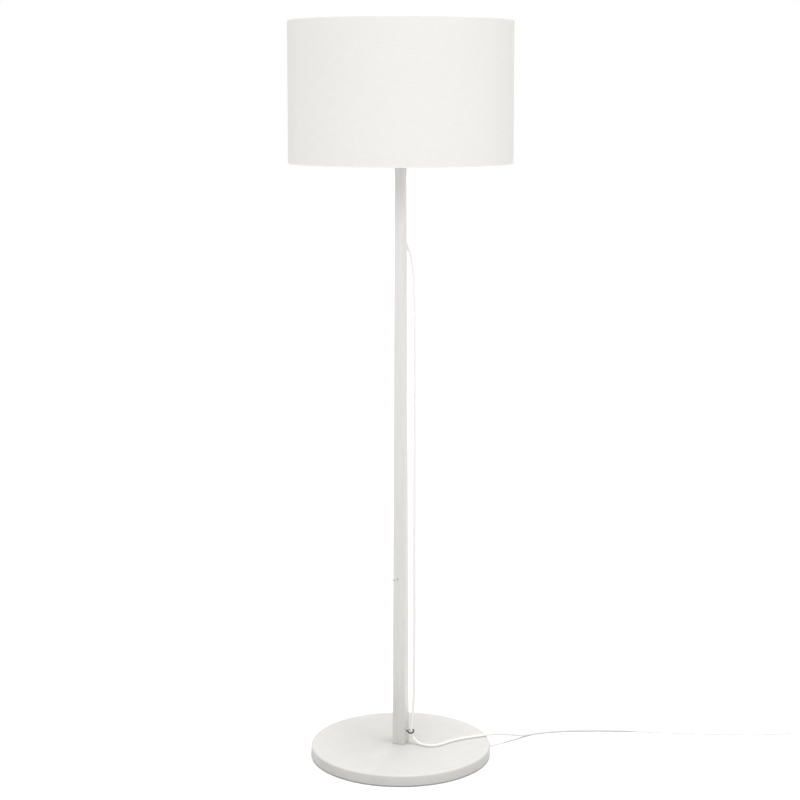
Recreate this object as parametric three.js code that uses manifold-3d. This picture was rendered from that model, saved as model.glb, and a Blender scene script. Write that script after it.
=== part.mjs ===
// Floor lamp: a round base, a tapered square wooden stem, a drum shade, and a cord with a foot switch
// and a plug.
// Millimetres, +Z up, origin on the floor at the centre of the base.
import * as THREE from 'three';
import { mergeVertices } from 'three/addons/utils/BufferGeometryUtils.js';
import Module from 'manifold-3d';

const wasm = await Module();
wasm.setup();

// ---------------------------------------------------------------- driving dimensions

const gap = 0.3; // left between pieces that touch
const deg = Math.PI / 180;

const base = { radius: 178.3, underside: 2.3, top: 23, topRound: 3, footRound: 1 };
const pad = { count: 4, ring: 160, radius: 10, thickness: 2 };
const ballast = {
  radius: 125, thickness: 8, hole: 20, screws: 3, screwRing: 95, screwRadius: 2, screwTop: 19,
};
const bolt = { radius: 3, top: 41, headWidth: 10, headHeight: 4, washerRadius: 9, washerHeight: 1.6 };
const insert = { radius: 5, length: 18 };
const dowel = { radius: 2, offset: 8.9, reach: 9 };

const stem = { foot: base.top + gap, top: 1193, footWidth: 26, topWidth: 18.2, round: 1.8, turn: -20 * deg };
const channel = { radius: 4.5, bottom: 1046 };
const exit = {
  height: 1032, aside: 3.5, lean: 30 * deg, radius: 4.5, bushOut: 4.2, bushIn: 3.3, bushLength: 20,
};
const eye = { height: 48.5, standOff: 9, ring: 5.5, wire: 1, depth: 14, tilt: 25 * deg };

const nipple = { radius: 5, bore: 3.5, depth: 15, rise: 14 };
const holder = { cap: 1199, seat: 1222, flange: 1225.2, top: 1252, radius: 19.8, flangeRadius: 23.5 };
const shadeRing = { bottom: 1229.1, top: 1236, radius: 28 };
const bulb = {
  foot: 1231, capTop: 1254, capRadius: 13, collarTop: 1286, rim: 28.6,
  radius: 30, widest: 1304, top: 1338, wall: 1,
};

const shade = { radius: 216, bottom: 1175, top: 1447, fabric: 0.7, liner: 1, hem: 12, hemThickness: 0.5 };
const wire = { hoop: 1.8, arm: 1.6, arms: 3, rise: 1227, fitterBore: 21, fitterRadius: 27, fitterHeight: 3 };

const cord = { radius: 2.8, sides: 10, longSpan: 30 };
const footSwitch = { x: 886, y: 108, length: 66, width: 36, baseTop: 4, coverTop: 22, wall: 2.4, entry: 8.2 };
const button = { radius: 13.1, flange: 15, flangeFoot: 17.5, top: 26, bore: 13.5 };
const relief = { length: 24, wide: 5.2, narrow: 3.7, collar: 3.9 };
const coil = { x: 1000, lift: 1.1, inner: 24.4, pitch: 5.68, turnsIn: 2.5, climb: 0.25, turnsOut: 2.75 };
const plug = {
  tip: 945, relief: 24, body: 34, width: 34, neck: 13, height: 13.7, pin: 2, pinLength: 19, pinApart: 9.3,
};

// The hanging and lying stretch of the cord, from the stem's exit hole to inside the foot switch.
const lampCordRoute = [
  [6.58, 7.86, 1032], [10.4, 12.5, 1021.6], [14.6, 16.4, 1010.5], [19.4, 18.8, 997], [23.4, 19, 975],
  [25.8, 17.6, 948], [27.2, 15.5, 905], [28, 12.5, 840], [28.2, 9, 750], [27.8, 6.5, 640],
  [27.4, 4.5, 520], [27.2, 3, 400], [27.3, 1.6, 290], [27, 0, 200], [26.4, -2, 130], [24.5, -4.6, 90],
  [22.3, -6.6, 70], [21.05, -7.3, 60], [20.7, -7.5, 52.6], [21.82, -8.18, 44.32], [25.09, -10.14, 36.85],
  [30.17, -13.19, 30.92], [36.57, -17.04, 27.11], [42.87, -20.82, 25.82], [45.87, -22.62, 25.8],
  [53.04, -25.67, 25.8], [61.27, -26.61, 25.8], [69.41, -25.1, 25.8], [75.95, -21.84, 25.8],
  [83.23, -16.55, 25.8], [100, -1.2, 25.8], [128, 15.2, 25.8], [157, 27.5, 25.8], [179, 36.5, 25.9],
  [200, 49, 22.6], [222, 66, 15], [245, 85, 6.6], [262, 98, 3.4], [284, 109, 2.9], [325, 119, 2.9],
  [390, 124, 2.9], [470, 121, 2.9], [560, 112, 2.9], [650, 104.5, 2.9], [730, 103, 2.9],
  [768, 105.7, 2.95], [783, 106.7, 3.2], [798, 107.5, 4.3], [813, 108, 6.4], [828, 108, 8.2],
  [842, 108, 8.2], [857, 108, 8.2],
];

// ---------------------------------------------------------------- helpers

// The finish of each kind of piece.
const materials = {
  paintedWood: new THREE.MeshStandardMaterial({ color: 0xe2e1dd, roughness: 0.6, metalness: 0 }),
  paintedBoard: new THREE.MeshStandardMaterial({ color: 0xe6e5e1, roughness: 0.5, metalness: 0 }),
  shadeFabric: new THREE.MeshStandardMaterial({ color: 0xf1f0ec, roughness: 0.9, metalness: 0 }),
  shadeLiner: new THREE.MeshStandardMaterial({ color: 0xf6f5f1, roughness: 0.6, metalness: 0 }),
  whitePlastic: new THREE.MeshStandardMaterial({ color: 0xf0f0ee, roughness: 0.35, metalness: 0 }),
  cordJacket: new THREE.MeshStandardMaterial({ color: 0xf2f2f0, roughness: 0.45, metalness: 0 }),
  ceramic: new THREE.MeshStandardMaterial({ color: 0xe9e7e0, roughness: 0.4, metalness: 0 }),
  frosted: new THREE.MeshStandardMaterial({ color: 0xfafaf6, roughness: 0.3, metalness: 0 }),
  zincSteel: new THREE.MeshStandardMaterial({ color: 0xb4b6b8, roughness: 0.4, metalness: 1 }),
  whiteSteel: new THREE.MeshStandardMaterial({ color: 0xececea, roughness: 0.4, metalness: 0.3 }),
  castIron: new THREE.MeshStandardMaterial({ color: 0x4a4a4c, roughness: 0.7, metalness: 0.8 }),
  darkSteel: new THREE.MeshStandardMaterial({ color: 0x55524d, roughness: 0.45, metalness: 0.9 }),
  brass: new THREE.MeshStandardMaterial({ color: 0xc2a05a, roughness: 0.35, metalness: 1 }),
  nickel: new THREE.MeshStandardMaterial({ color: 0xc8c8c4, roughness: 0.25, metalness: 1 }),
  felt: new THREE.MeshStandardMaterial({ color: 0xd6d4cf, roughness: 1, metalness: 0 }),
  liveInsulation: new THREE.MeshStandardMaterial({ color: 0x6b4226, roughness: 0.5, metalness: 0 }),
  neutralInsulation: new THREE.MeshStandardMaterial({ color: 0x2f5f9e, roughness: 0.5, metalness: 0 }),
};

// A curve whose steps follow its points, so that bends, where the points are close, get more of them.
class PacedCurve extends THREE.CatmullRomCurve3 {
  getUtoTmapping(u) {
    return u;
  }
}

function routeCurve(route) {
  return new PacedCurve(route.map((point) => new THREE.Vector3(...point)));
}

// The points of a route, with one more halfway along each span that is longer than the given length.
function withHalfway(route, longest) {
  const curve = routeCurve(route);
  const spans = route.length - 1;
  const points = [curve.getPoint(0)];
  for (let i = 1; i <= spans; i += 1) {
    const end = curve.getPoint(i / spans);
    if (end.distanceTo(points[points.length - 1]) > longest) points.push(curve.getPoint((i - 0.5) / spans));
    points.push(end);
  }
  return points;
}

function lathe(profile, segments = 28) {
  const points = profile.map(([radius, height]) => new THREE.Vector2(radius, height));
  return new THREE.LatheGeometry(points, segments).rotateX(Math.PI / 2);
}

// A solid disc, or a sleeve where inner is given.
function disc(radius, bottom, top, inner = 0, segments = 24) {
  const profile = [[inner, bottom], [radius, bottom], [radius, top], [inner, top]];
  if (inner > 0) profile.push([inner, bottom]);
  return lathe(profile, segments);
}

function block(low, high) {
  const size = high.map((value, i) => value - low[i]);
  const middle = high.map((value, i) => (value + low[i]) / 2);
  return new THREE.BoxGeometry(...size).translate(...middle);
}

function hexPrism(acrossFlats, bottom, top) {
  const corner = acrossFlats / Math.sqrt(3);
  const prism = new THREE.CylinderGeometry(corner, corner, top - bottom, 6);
  return prism.rotateX(Math.PI / 2).translate(0, 0, (top + bottom) / 2);
}

function roundSection(radius, sides = cord.sides) {
  const section = new THREE.Shape();
  for (let i = 0; i < sides; i += 1) {
    const angle = (i / sides) * 2 * Math.PI;
    const place = [radius * Math.cos(angle), radius * Math.sin(angle)];
    if (i === 0) section.moveTo(...place);
    else section.lineTo(...place);
  }
  return section;
}

function tubeAlong(curve, radius, steps, sides = cord.sides) {
  const options = { steps, extrudePath: curve, bevelEnabled: false };
  return new THREE.ExtrudeGeometry(roundSection(radius, sides), options);
}

function roundedRectangle(width, height, radius) {
  const [x, y] = [width / 2 - radius, height / 2 - radius];
  const outline = new THREE.Shape();
  outline.absarc(x, y, radius, 0, Math.PI / 2);
  outline.absarc(-x, y, radius, Math.PI / 2, Math.PI);
  outline.absarc(-x, -y, radius, Math.PI, 1.5 * Math.PI);
  outline.absarc(x, -y, radius, 1.5 * Math.PI, 2 * Math.PI);
  return outline;
}

function toSolid(geometry) {
  const bare = geometry.clone();
  bare.deleteAttribute('normal');
  bare.deleteAttribute('uv');
  const merged = mergeVertices(bare, 1e-4);
  const vertProperties = new Float32Array(merged.attributes.position.array);
  const triVerts = new Uint32Array(merged.index.array);
  return new wasm.Manifold(new wasm.Mesh({ numProp: 3, vertProperties, triVerts }));
}

function toGeometry(solid) {
  const { vertProperties, triVerts } = solid.getMesh();
  const geometry = new THREE.BufferGeometry();
  geometry.setAttribute('position', new THREE.BufferAttribute(vertProperties, 3));
  geometry.setIndex(new THREE.BufferAttribute(triVerts, 1));
  return geometry;
}

function cut(body, ...tools) {
  return toGeometry(tools.reduce((solid, tool) => solid.subtract(toSolid(tool)), toSolid(body)));
}

function join(first, ...others) {
  return toGeometry(others.reduce((solid, other) => solid.add(toSolid(other)), toSolid(first)));
}

function common(first, second) {
  return toGeometry(toSolid(first).intersect(toSolid(second)));
}

function addTo(group, name, geometry, material) {
  const mesh = new THREE.Mesh(geometry, material);
  mesh.name = name;
  group.add(mesh);
  return mesh;
}

function turned(count, index, start = 0) {
  return start + (index / count) * 2 * Math.PI;
}

// ---------------------------------------------------------------- base

function buildBase() {
  const group = new THREE.Group();
  const { radius, underside, top, topRound, footRound } = base;
  const profile = [[0, underside], [radius - footRound, underside], [radius, underside + footRound]];
  for (let i = 0; i <= 3; i += 1) {
    const angle = (i / 3) * (Math.PI / 2);
    profile.push([radius - topRound * (1 - Math.cos(angle)), top - topRound * (1 - Math.sin(angle))]);
  }
  profile.push([0, top]);

  const plateFoot = underside + 0.7;
  const plateTop = plateFoot + ballast.thickness;
  const recess = disc(ballast.radius + gap, 0, plateTop + gap, 0, 48);
  const boltHole = disc(bolt.radius + gap, 0, top + 1, 0, 24);
  const dowelHole = disc(dowel.radius + gap, top - dowel.reach - gap, top + 1, 0, 20)
    .translate(-dowel.offset * Math.cos(stem.turn), -dowel.offset * Math.sin(stem.turn), 0);
  const pilots = [];
  const screwHoles = [];
  for (let i = 0; i < ballast.screws; i += 1) {
    const angle = turned(ballast.screws, i, Math.PI / 2);
    const place = [ballast.screwRing * Math.cos(angle), ballast.screwRing * Math.sin(angle), 0];
    pilots.push(disc(ballast.screwRadius + gap, 0, ballast.screwTop + gap, 0, 16).translate(...place));
    screwHoles.push(disc(ballast.screwRadius + gap, 0, plateTop + 1, 0, 16).translate(...place));
    screwHoles.push(disc(4 + gap, 0, plateFoot + 3, 0, 24).translate(...place));
    const screw = [[0, plateFoot], [4, plateFoot], [4, plateFoot + 0.6],
      [ballast.screwRadius, plateFoot + 2.6], [ballast.screwRadius, ballast.screwTop - 2],
      [0, ballast.screwTop]];
    addTo(group, `ballast_screw_${i + 1}`, lathe(screw, 16), materials.zincSteel).position.set(...place);
  }
  const board = cut(lathe(profile, 80), recess, boltHole, dowelHole, ...pilots);
  addTo(group, 'base_disc', board, materials.paintedBoard);
  const plate = cut(disc(ballast.radius, plateFoot, plateTop, ballast.hole, 48), ...screwHoles);
  addTo(group, 'ballast_plate', plate, materials.castIron);

  for (let i = 0; i < pad.count; i += 1) {
    const angle = turned(pad.count, i, Math.PI / 4);
    const foot = addTo(group, `foot_pad_${i + 1}`, disc(pad.radius, 0, pad.thickness, 0, 24), materials.felt);
    foot.position.set(pad.ring * Math.cos(angle), pad.ring * Math.sin(angle), 0);
  }

  const washerTop = plateTop;
  const washerFoot = washerTop - bolt.washerHeight;
  const washer = disc(bolt.washerRadius, washerFoot, washerTop, bolt.radius + gap);
  addTo(group, 'stem_washer', washer, materials.zincSteel);
  const headTop = washerFoot - gap;
  const head = hexPrism(bolt.headWidth, headTop - bolt.headHeight, headTop);
  const shank = disc(bolt.radius, headTop - 1, bolt.top, 0, 20);
  addTo(group, 'stem_bolt', join(head, shank), materials.zincSteel);
  return group;
}

// ---------------------------------------------------------------- stem, in its own turned group

function widthAt(height) {
  const share = (height - stem.foot) / (stem.top - stem.foot);
  return stem.footWidth + (stem.topWidth - stem.footWidth) * share;
}

// Places a piece made along +Z so that its +Z runs down the slanted exit hole and its origin is at the
// hole's mouth.
function alongExit(geometry) {
  const half = widthAt(exit.height) / 2;
  const bearing = Math.atan2(half, exit.aside);
  return geometry.rotateY(Math.PI - exit.lean).rotateZ(bearing).translate(exit.aside, half, exit.height);
}

function buildStem() {
  const group = new THREE.Group();
  group.rotation.z = stem.turn;
  const height = stem.top - stem.foot;
  const section = roundedRectangle(stem.footWidth, stem.footWidth, stem.round);
  const bar = new THREE.ExtrudeGeometry(section, { depth: height, bevelEnabled: false, curveSegments: 4 });
  const place = bar.attributes.position;
  for (let i = 0; i < place.count; i += 1) {
    const scale = widthAt(place.getZ(i) + stem.foot) / stem.footWidth;
    place.setXY(i, place.getX(i) * scale, place.getY(i) * scale);
  }
  bar.translate(0, 0, stem.foot);

  const wireChannel = disc(channel.radius, channel.bottom, stem.top + 1, 0, 24);
  const nippleBore = disc(nipple.radius + gap, stem.top - nipple.depth - gap, stem.top + 1, 0, 24);
  const exitHole = alongExit(disc(exit.radius, -22, 12, 0, 24));
  const insertBore = disc(insert.radius + gap, stem.foot - 1, stem.foot + insert.length + 2 * gap, 0, 24);
  const boltTip = disc(bolt.radius + gap, stem.foot, bolt.top + 1, 0, 20);
  const dowelBore = disc(dowel.radius + gap, stem.foot - 1, stem.foot + dowel.reach, 0, 20)
    .translate(-dowel.offset, 0, 0);
  const face = widthAt(eye.height) / 2;
  const eyeCentre = face + eye.standOff;
  const eyePilot = disc(eye.wire + gap, -eye.depth - gap, 1, 0, 16).rotateY(Math.PI / 2)
    .translate(face, 0, eye.height);
  const bored = cut(bar, wireChannel, nippleBore, exitHole, insertBore, boltTip, dowelBore, eyePilot);
  addTo(group, 'stem', bored, materials.paintedWood);

  const sleeve = alongExit(disc(exit.bushOut, -exit.bushLength / 2, exit.bushLength, exit.bushIn, 24));
  const outside = widthAt(exit.height) / 2 + 1;
  const trim = block([-30, -2, exit.height - 30], [30, outside, exit.height + 30]);
  addTo(group, 'exit_bushing', common(sleeve, trim), materials.whitePlastic);

  const ring = new THREE.TorusGeometry(eye.ring, eye.wire, 8, 24).rotateX(eye.tilt);
  const shankEnd = -eye.standOff - eye.depth;
  const shank = disc(eye.wire, shankEnd, -eye.ring, 0, 12).rotateY(Math.PI / 2);
  const screwEye = addTo(group, 'cord_eye', join(ring, shank), materials.darkSteel);
  screwEye.position.set(eyeCentre, 0, eye.height);

  const insertFoot = stem.foot + gap;
  const nut = disc(insert.radius, insertFoot, insertFoot + insert.length, bolt.radius + gap, 24);
  addTo(group, 'stem_insert', nut, materials.brass);
  const pin = addTo(group, 'locating_dowel', disc(dowel.radius, base.top - dowel.reach,
    stem.foot + dowel.reach - gap, 0, 20), materials.zincSteel);
  pin.position.set(-dowel.offset, 0, 0);

  const mouth = [exit.aside, widthAt(exit.height) / 2, exit.height];
  const run = Math.hypot(mouth[0], mouth[1]);
  const along = (back) => [
    mouth[0] * (1 - (back * Math.sin(exit.lean)) / run),
    mouth[1] * (1 - (back * Math.sin(exit.lean)) / run),
    mouth[2] + back * Math.cos(exit.lean),
  ];
  const lead = routeCurve([[0, 0, stem.top + nipple.rise - 4], [0, 0, 1120], [0, 0, 1062],
    along(14), along(7), along(gap)]);
  addTo(group, 'stem_lead', tubeAlong(lead, cord.radius, 15), materials.cordJacket);
  return group;
}

// ---------------------------------------------------------------- lampholder

function buildHolder() {
  const group = new THREE.Group();
  const seat = stem.top + gap;
  const nutFoot = seat + 1.5 + gap;
  const nutTop = nutFoot + 3;
  addTo(group, 'stem_top_washer', disc(8.6, seat, seat + 1.5, nipple.radius + gap), materials.zincSteel);
  const nut = cut(hexPrism(14, nutFoot, nutTop), disc(nipple.radius + gap, nutFoot - 1, nutTop + 1, 0, 24));
  addTo(group, 'nipple_nut', nut, materials.zincSteel);
  const rise = stem.top + nipple.rise;
  const tube = disc(nipple.radius, stem.top - nipple.depth, rise, nipple.bore, 24);
  addTo(group, 'threaded_nipple', tube, materials.zincSteel);

  const { cap, seat: split, flange, top, radius, flangeRadius } = holder;
  const neck = nipple.radius + gap;
  const capShell = [[neck, cap], [9, cap], [10, cap + 5], [20, cap + 11], [22, cap + 14], [22, split - gap],
    [20, split - gap], [20, cap + 14.5], [9.5, cap + 8], [neck, cap + 8], [neck, cap]];
  addTo(group, 'holder_cap', lathe(capShell), materials.whitePlastic);
  const skirt = [[17, split], [flangeRadius, split], [flangeRadius, flange], [radius, flange],
    [radius, top - 1], [radius - 1, top], [17.5, top], [17, top - 0.5], [17, split]];
  addTo(group, 'holder_skirt', lathe(skirt), materials.whitePlastic);
  const core = disc(16.6, split - 6, split + 4, 0, 28);
  const wireHoles = [-1, 1].map((side) => disc(1.8, split - 7, split - 1, 0, 12).translate(side * 9, 0, 0));
  const contactSlot = block([-4, -3, split + 2.5], [4, 3, split + 5]);
  addTo(group, 'holder_core', cut(core, ...wireHoles, contactSlot), materials.ceramic);
  const shellFoot = split + 4 + gap;
  const shell = [[14, shellFoot], [16, shellFoot]];
  for (let i = 0; i < 3; i += 1) {
    const turn = shellFoot + 1 + i * 3.63;
    shell.push([14.4, turn + 0.9], [15, turn + 2.7]);
  }
  shell.push([14.5, shellFoot + 20.5], [14, shellFoot + 20.5]);
  for (let i = 2; i >= 0; i -= 1) {
    const turn = shellFoot + 1 + i * 3.63;
    shell.push([14.4, turn + 2.7], [13.8, turn + 0.9]);
  }
  shell.push([14, shellFoot]);
  addTo(group, 'holder_screw_shell', lathe(shell, 24), materials.nickel);
  const tongue = join(block([-3.6, -2.6, split + 2.8], [3.6, 2.6, split + 3.6]),
    block([-2, -2, split + 3.4], [2, 2, split + 5.2]));
  addTo(group, 'centre_contact', tongue, materials.brass);

  const wires = [
    ['live_wire', -1, materials.liveInsulation],
    ['neutral_wire', 1, materials.neutralInsulation],
  ];
  wires.forEach(([name, side, material]) => {
    const foot = stem.top + nipple.rise - 4 + gap;
    const route = routeCurve([[side * 1.5, 0, foot], [side * 1.6, 0, foot + 4.5], [side * 4.6, 0, foot + 8.5],
      [side * 8.4, 0, split - 6.5], [side * 9, 0, split - 1.5]]);
    addTo(group, name, tubeAlong(route, 1.1, 10, 8), material);
  });

  const { bottom, top: ringTop, radius: ringRadius } = shadeRing;
  const ringBore = radius + gap;
  const retaining = [[ringBore, bottom], [ringRadius, bottom], [ringRadius, bottom + 2],
    [ringBore + 3, bottom + 3], [ringBore + 3, ringTop], [ringBore, ringTop], [ringBore, bottom]];
  addTo(group, 'shade_retaining_ring', lathe(retaining), materials.whitePlastic);
  return group;
}

// ---------------------------------------------------------------- bulb

function buildBulb() {
  const group = new THREE.Group();
  const { foot, capTop, capRadius, collarTop, rim, radius, widest, top, wall } = bulb;
  const thread = { rings: 3, pitch: 5, depth: 0.7, sheet: 0.5 };
  const outside = [[8, foot], [11.5, foot + 1.5]];
  const within = [[11, foot + 2.1], [8, foot + 0.7], [8, foot]];
  for (let i = 0; i < thread.rings; i += 1) {
    const root = foot + 3.5 + i * thread.pitch;
    const [valley, crest] = [capRadius - thread.depth, capRadius];
    outside.push([valley, root], [crest, root + thread.pitch / 2]);
    within.unshift([valley - thread.sheet, root]);
    within.unshift([crest - thread.sheet, root + thread.pitch / 2]);
  }
  const shell = [...outside, [12.8, capTop], [12.2, capTop], ...within];
  addTo(group, 'bulb_screw_cap', lathe(shell, 24), materials.nickel);
  const tip = [[0, foot - 2.6], [3.6, foot - 2.4], [4.6, foot - 1], [7.6, foot - 0.2], [7.6, foot + 0.6],
    [0, foot + 0.6]];
  addTo(group, 'bulb_contact', lathe(tip, 20), materials.brass);
  const collarFoot = capTop + gap;
  const collar = [[12, collarFoot], [13.5, collarFoot], [18, collarFoot + 8], [27, collarTop - 8],
    [rim, collarTop], [27.4, collarTop], [25.8, collarTop - 7.4], [16.8, collarFoot + 9],
    [12, collarFoot + 1.2], [12, collarFoot]];
  addTo(group, 'bulb_housing', lathe(collar), materials.whitePlastic);
  const boardFoot = collarTop + gap;
  addTo(group, 'bulb_led_board', disc(25, boardFoot, boardFoot + 1.6, 0, 28), materials.zincSteel);
  const domeSteps = 6;
  const outer = [];
  const inside = [];
  const span = top - widest;
  for (let i = 0; i <= domeSteps; i += 1) {
    const angle = (i / domeSteps) * (Math.PI / 2);
    outer.push([radius * Math.cos(angle), widest + span * Math.sin(angle)]);
    inside.unshift([(radius - wall) * Math.cos(angle), widest + (span - wall) * Math.sin(angle)]);
  }
  outer[domeSteps][0] = 0;
  inside[0][0] = 0;
  const dome = [[rim - wall, boardFoot], [rim, boardFoot], ...outer, ...inside, [rim - wall, boardFoot]];
  addTo(group, 'bulb_diffuser', lathe(dome), materials.frosted);
  return group;
}

// ---------------------------------------------------------------- shade

function hoop(height) {
  const middle = shade.radius - shade.fabric - gap - shade.liner - gap - wire.hoop;
  return new THREE.TorusGeometry(middle, wire.hoop, 6, 64).translate(0, 0, height);
}

function buildShade() {
  const group = new THREE.Group();
  const { radius, bottom, top, fabric, liner, hem, hemThickness } = shade;
  const fabricIn = radius - fabric;
  const linerOut = fabricIn - gap;
  const linerIn = linerOut - liner;
  addTo(group, 'shade_fabric', disc(radius, bottom + 0.8, top - 0.8, fabricIn, 72), materials.shadeFabric);
  addTo(group, 'shade_liner', disc(linerOut, bottom + 0.8, top - 0.8, linerIn, 72), materials.shadeLiner);

  const hoopAt = { lower: bottom + 0.8 + wire.hoop, upper: top - 0.8 - wire.hoop };
  addTo(group, 'hoop_lower', hoop(hoopAt.lower), materials.whiteSteel);
  addTo(group, 'hoop_upper', hoop(hoopAt.upper), materials.whiteSteel);

  const { fitterBore, fitterRadius, fitterHeight, rise } = wire;
  const fitterFoot = holder.flange + gap;
  const ring = disc(fitterRadius, fitterFoot, fitterFoot + fitterHeight, fitterBore, 32);
  addTo(group, 'fitter_ring', ring, materials.whiteSteel);
  const armFoot = linerIn - 2 * (wire.hoop + gap) - wire.arm - gap;
  for (let i = 0; i < wire.arms; i += 1) {
    const route = routeCurve([[armFoot, 0, hoopAt.lower], [armFoot - 1, 0, hoopAt.lower + 12],
      [armFoot - 9, 0, rise - 8], [armFoot - 20, 0, rise - 0.8], [armFoot - 34, 0, rise], [120, 0, rise],
      [fitterRadius + gap, 0, rise]]);
    const arm = addTo(group, `shade_arm_${i + 1}`, tubeAlong(route, wire.arm, 18), materials.whiteSteel);
    arm.rotation.z = turned(wire.arms, i, Math.PI / 2);
  }
  const tapeOut = linerIn - gap;
  const tapeIn = tapeOut - hemThickness;
  const clear = 2 * (wire.hoop + gap) + 0.8;
  const tapes = [['hem_tape_lower', bottom + clear, bottom + clear + hem],
    ['hem_tape_upper', top - clear - hem, top - clear]];
  tapes.forEach(([name, low, high]) => {
    addTo(group, name, disc(tapeOut, low, high, tapeIn, 72), materials.shadeFabric);
  });
  return group;
}

// ---------------------------------------------------------------- foot switch

function reliefSleeve() {
  const { length, wide, narrow, collar } = relief;
  const bore = cord.radius + gap;
  const profile = [[bore, -3], [collar, -3], [collar, 0.2], [wide, 0.2], [narrow, length], [bore, length],
    [bore, -3]];
  return lathe(profile, 24);
}

function buildSwitch() {
  const group = new THREE.Group();
  group.position.set(footSwitch.x, footSwitch.y, 0);
  const { length, width, baseTop, coverTop, wall, entry } = footSwitch;
  const outline = roundedRectangle(length, width, width / 2 - 1);
  const plate = new THREE.ExtrudeGeometry(outline, { depth: baseTop, bevelEnabled: false, curveSegments: 5 });
  const screwX = length / 2 - 9;
  const screwHoles = [-1, 1].flatMap((side) => [
    disc(1.5 + gap, -1, baseTop + 1, 0, 16).translate(side * screwX, side * 9, 0),
    disc(2.8 + gap, -1, 2.2, 0, 16).translate(side * screwX, side * 9, 0),
  ]);
  addTo(group, 'switch_base', cut(plate, ...screwHoles), materials.whitePlastic);

  const coverFoot = baseTop + gap;
  const bevel = 3;
  const crown = roundedRectangle(length - 2 * bevel, width - 2 * bevel, width / 2 - 1 - bevel);
  const dome = new THREE.ExtrudeGeometry(crown, {
    depth: coverTop - coverFoot - bevel,
    bevelThickness: bevel,
    bevelSize: bevel,
    bevelSegments: 2,
    curveSegments: 5,
  }).translate(0, 0, coverFoot);
  const foot = block([-length, -width, coverFoot - 2 * bevel], [length, width, coverFoot]);
  const hollow = roundedRectangle(length - 2 * wall, width - 2 * wall, width / 2 - 1 - wall);
  const ceiling = coverTop - wall;
  const cavity = new THREE.ExtrudeGeometry(hollow, { depth: ceiling, bevelEnabled: false, curveSegments: 5 });
  const endClear = relief.collar + gap;
  const ends = [-length / 2, length / 2].flatMap((end) => [
    disc(endClear, -6, 6, 0, 20).rotateY(Math.PI / 2).translate(end, 0, entry),
    block([end - 6, -endClear, 0], [end + 6, endClear, entry]),
  ]);
  const cover = cut(dome, foot, cavity, disc(button.bore, 0, coverTop + 5, 0, 28), ...ends);
  addTo(group, 'switch_cover', cover, materials.whitePlastic);
  [-1, 1].forEach((side, i) => {
    const screw = [[0, 0.6], [2.8, 0.6], [2.8, 1.9], [1.5, 1.9], [1.5, baseTop + 4], [0, baseTop + 4]];
    const post = addTo(group, `switch_screw_${i + 1}`, lathe(screw, 16), materials.zincSteel);
    post.position.set(side * screwX, side * 9, 0);
    const sleeve = addTo(group, `switch_relief_${i + 1}`, reliefSleeve(), materials.whitePlastic);
    sleeve.rotation.y = (side * Math.PI) / 2;
    sleeve.position.set(side * (length / 2), 0, entry);
  });
  const contacts = block([-12, -8, baseTop + gap], [12, 8, 10.5]);
  addTo(group, 'switch_contact_block', contacts, materials.ceramic);
  const turns = 3;
  const coilPoints = [];
  for (let i = 0; i <= turns * 8; i += 1) {
    const angle = (i / 8) * 2 * Math.PI;
    coilPoints.push([5 * Math.cos(angle), 5 * Math.sin(angle), 11.4 + (5.2 * i) / (turns * 8)]);
  }
  addTo(group, 'switch_spring', tubeAlong(routeCurve(coilPoints), 0.5, turns * 12, 6), materials.zincSteel);
  const { radius, flange, flangeFoot, top } = button;
  const flangeTop = ceiling - gap;
  const cap = [[0, flangeFoot], [flange, flangeFoot], [flange, flangeTop], [radius, flangeTop],
    [radius, top - 2], [radius - 1, top - 0.7], [radius - 3.5, top - 0.2], [0, top]];
  addTo(group, 'switch_button', lathe(cap, 28), materials.whitePlastic);
  return group;
}

// ---------------------------------------------------------------- cord, coil and plug

const coilY = footSwitch.y + coil.inner + coil.pitch * coil.turnsIn;
const coilOuter = coil.inner + coil.pitch * coil.turnsOut;

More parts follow.
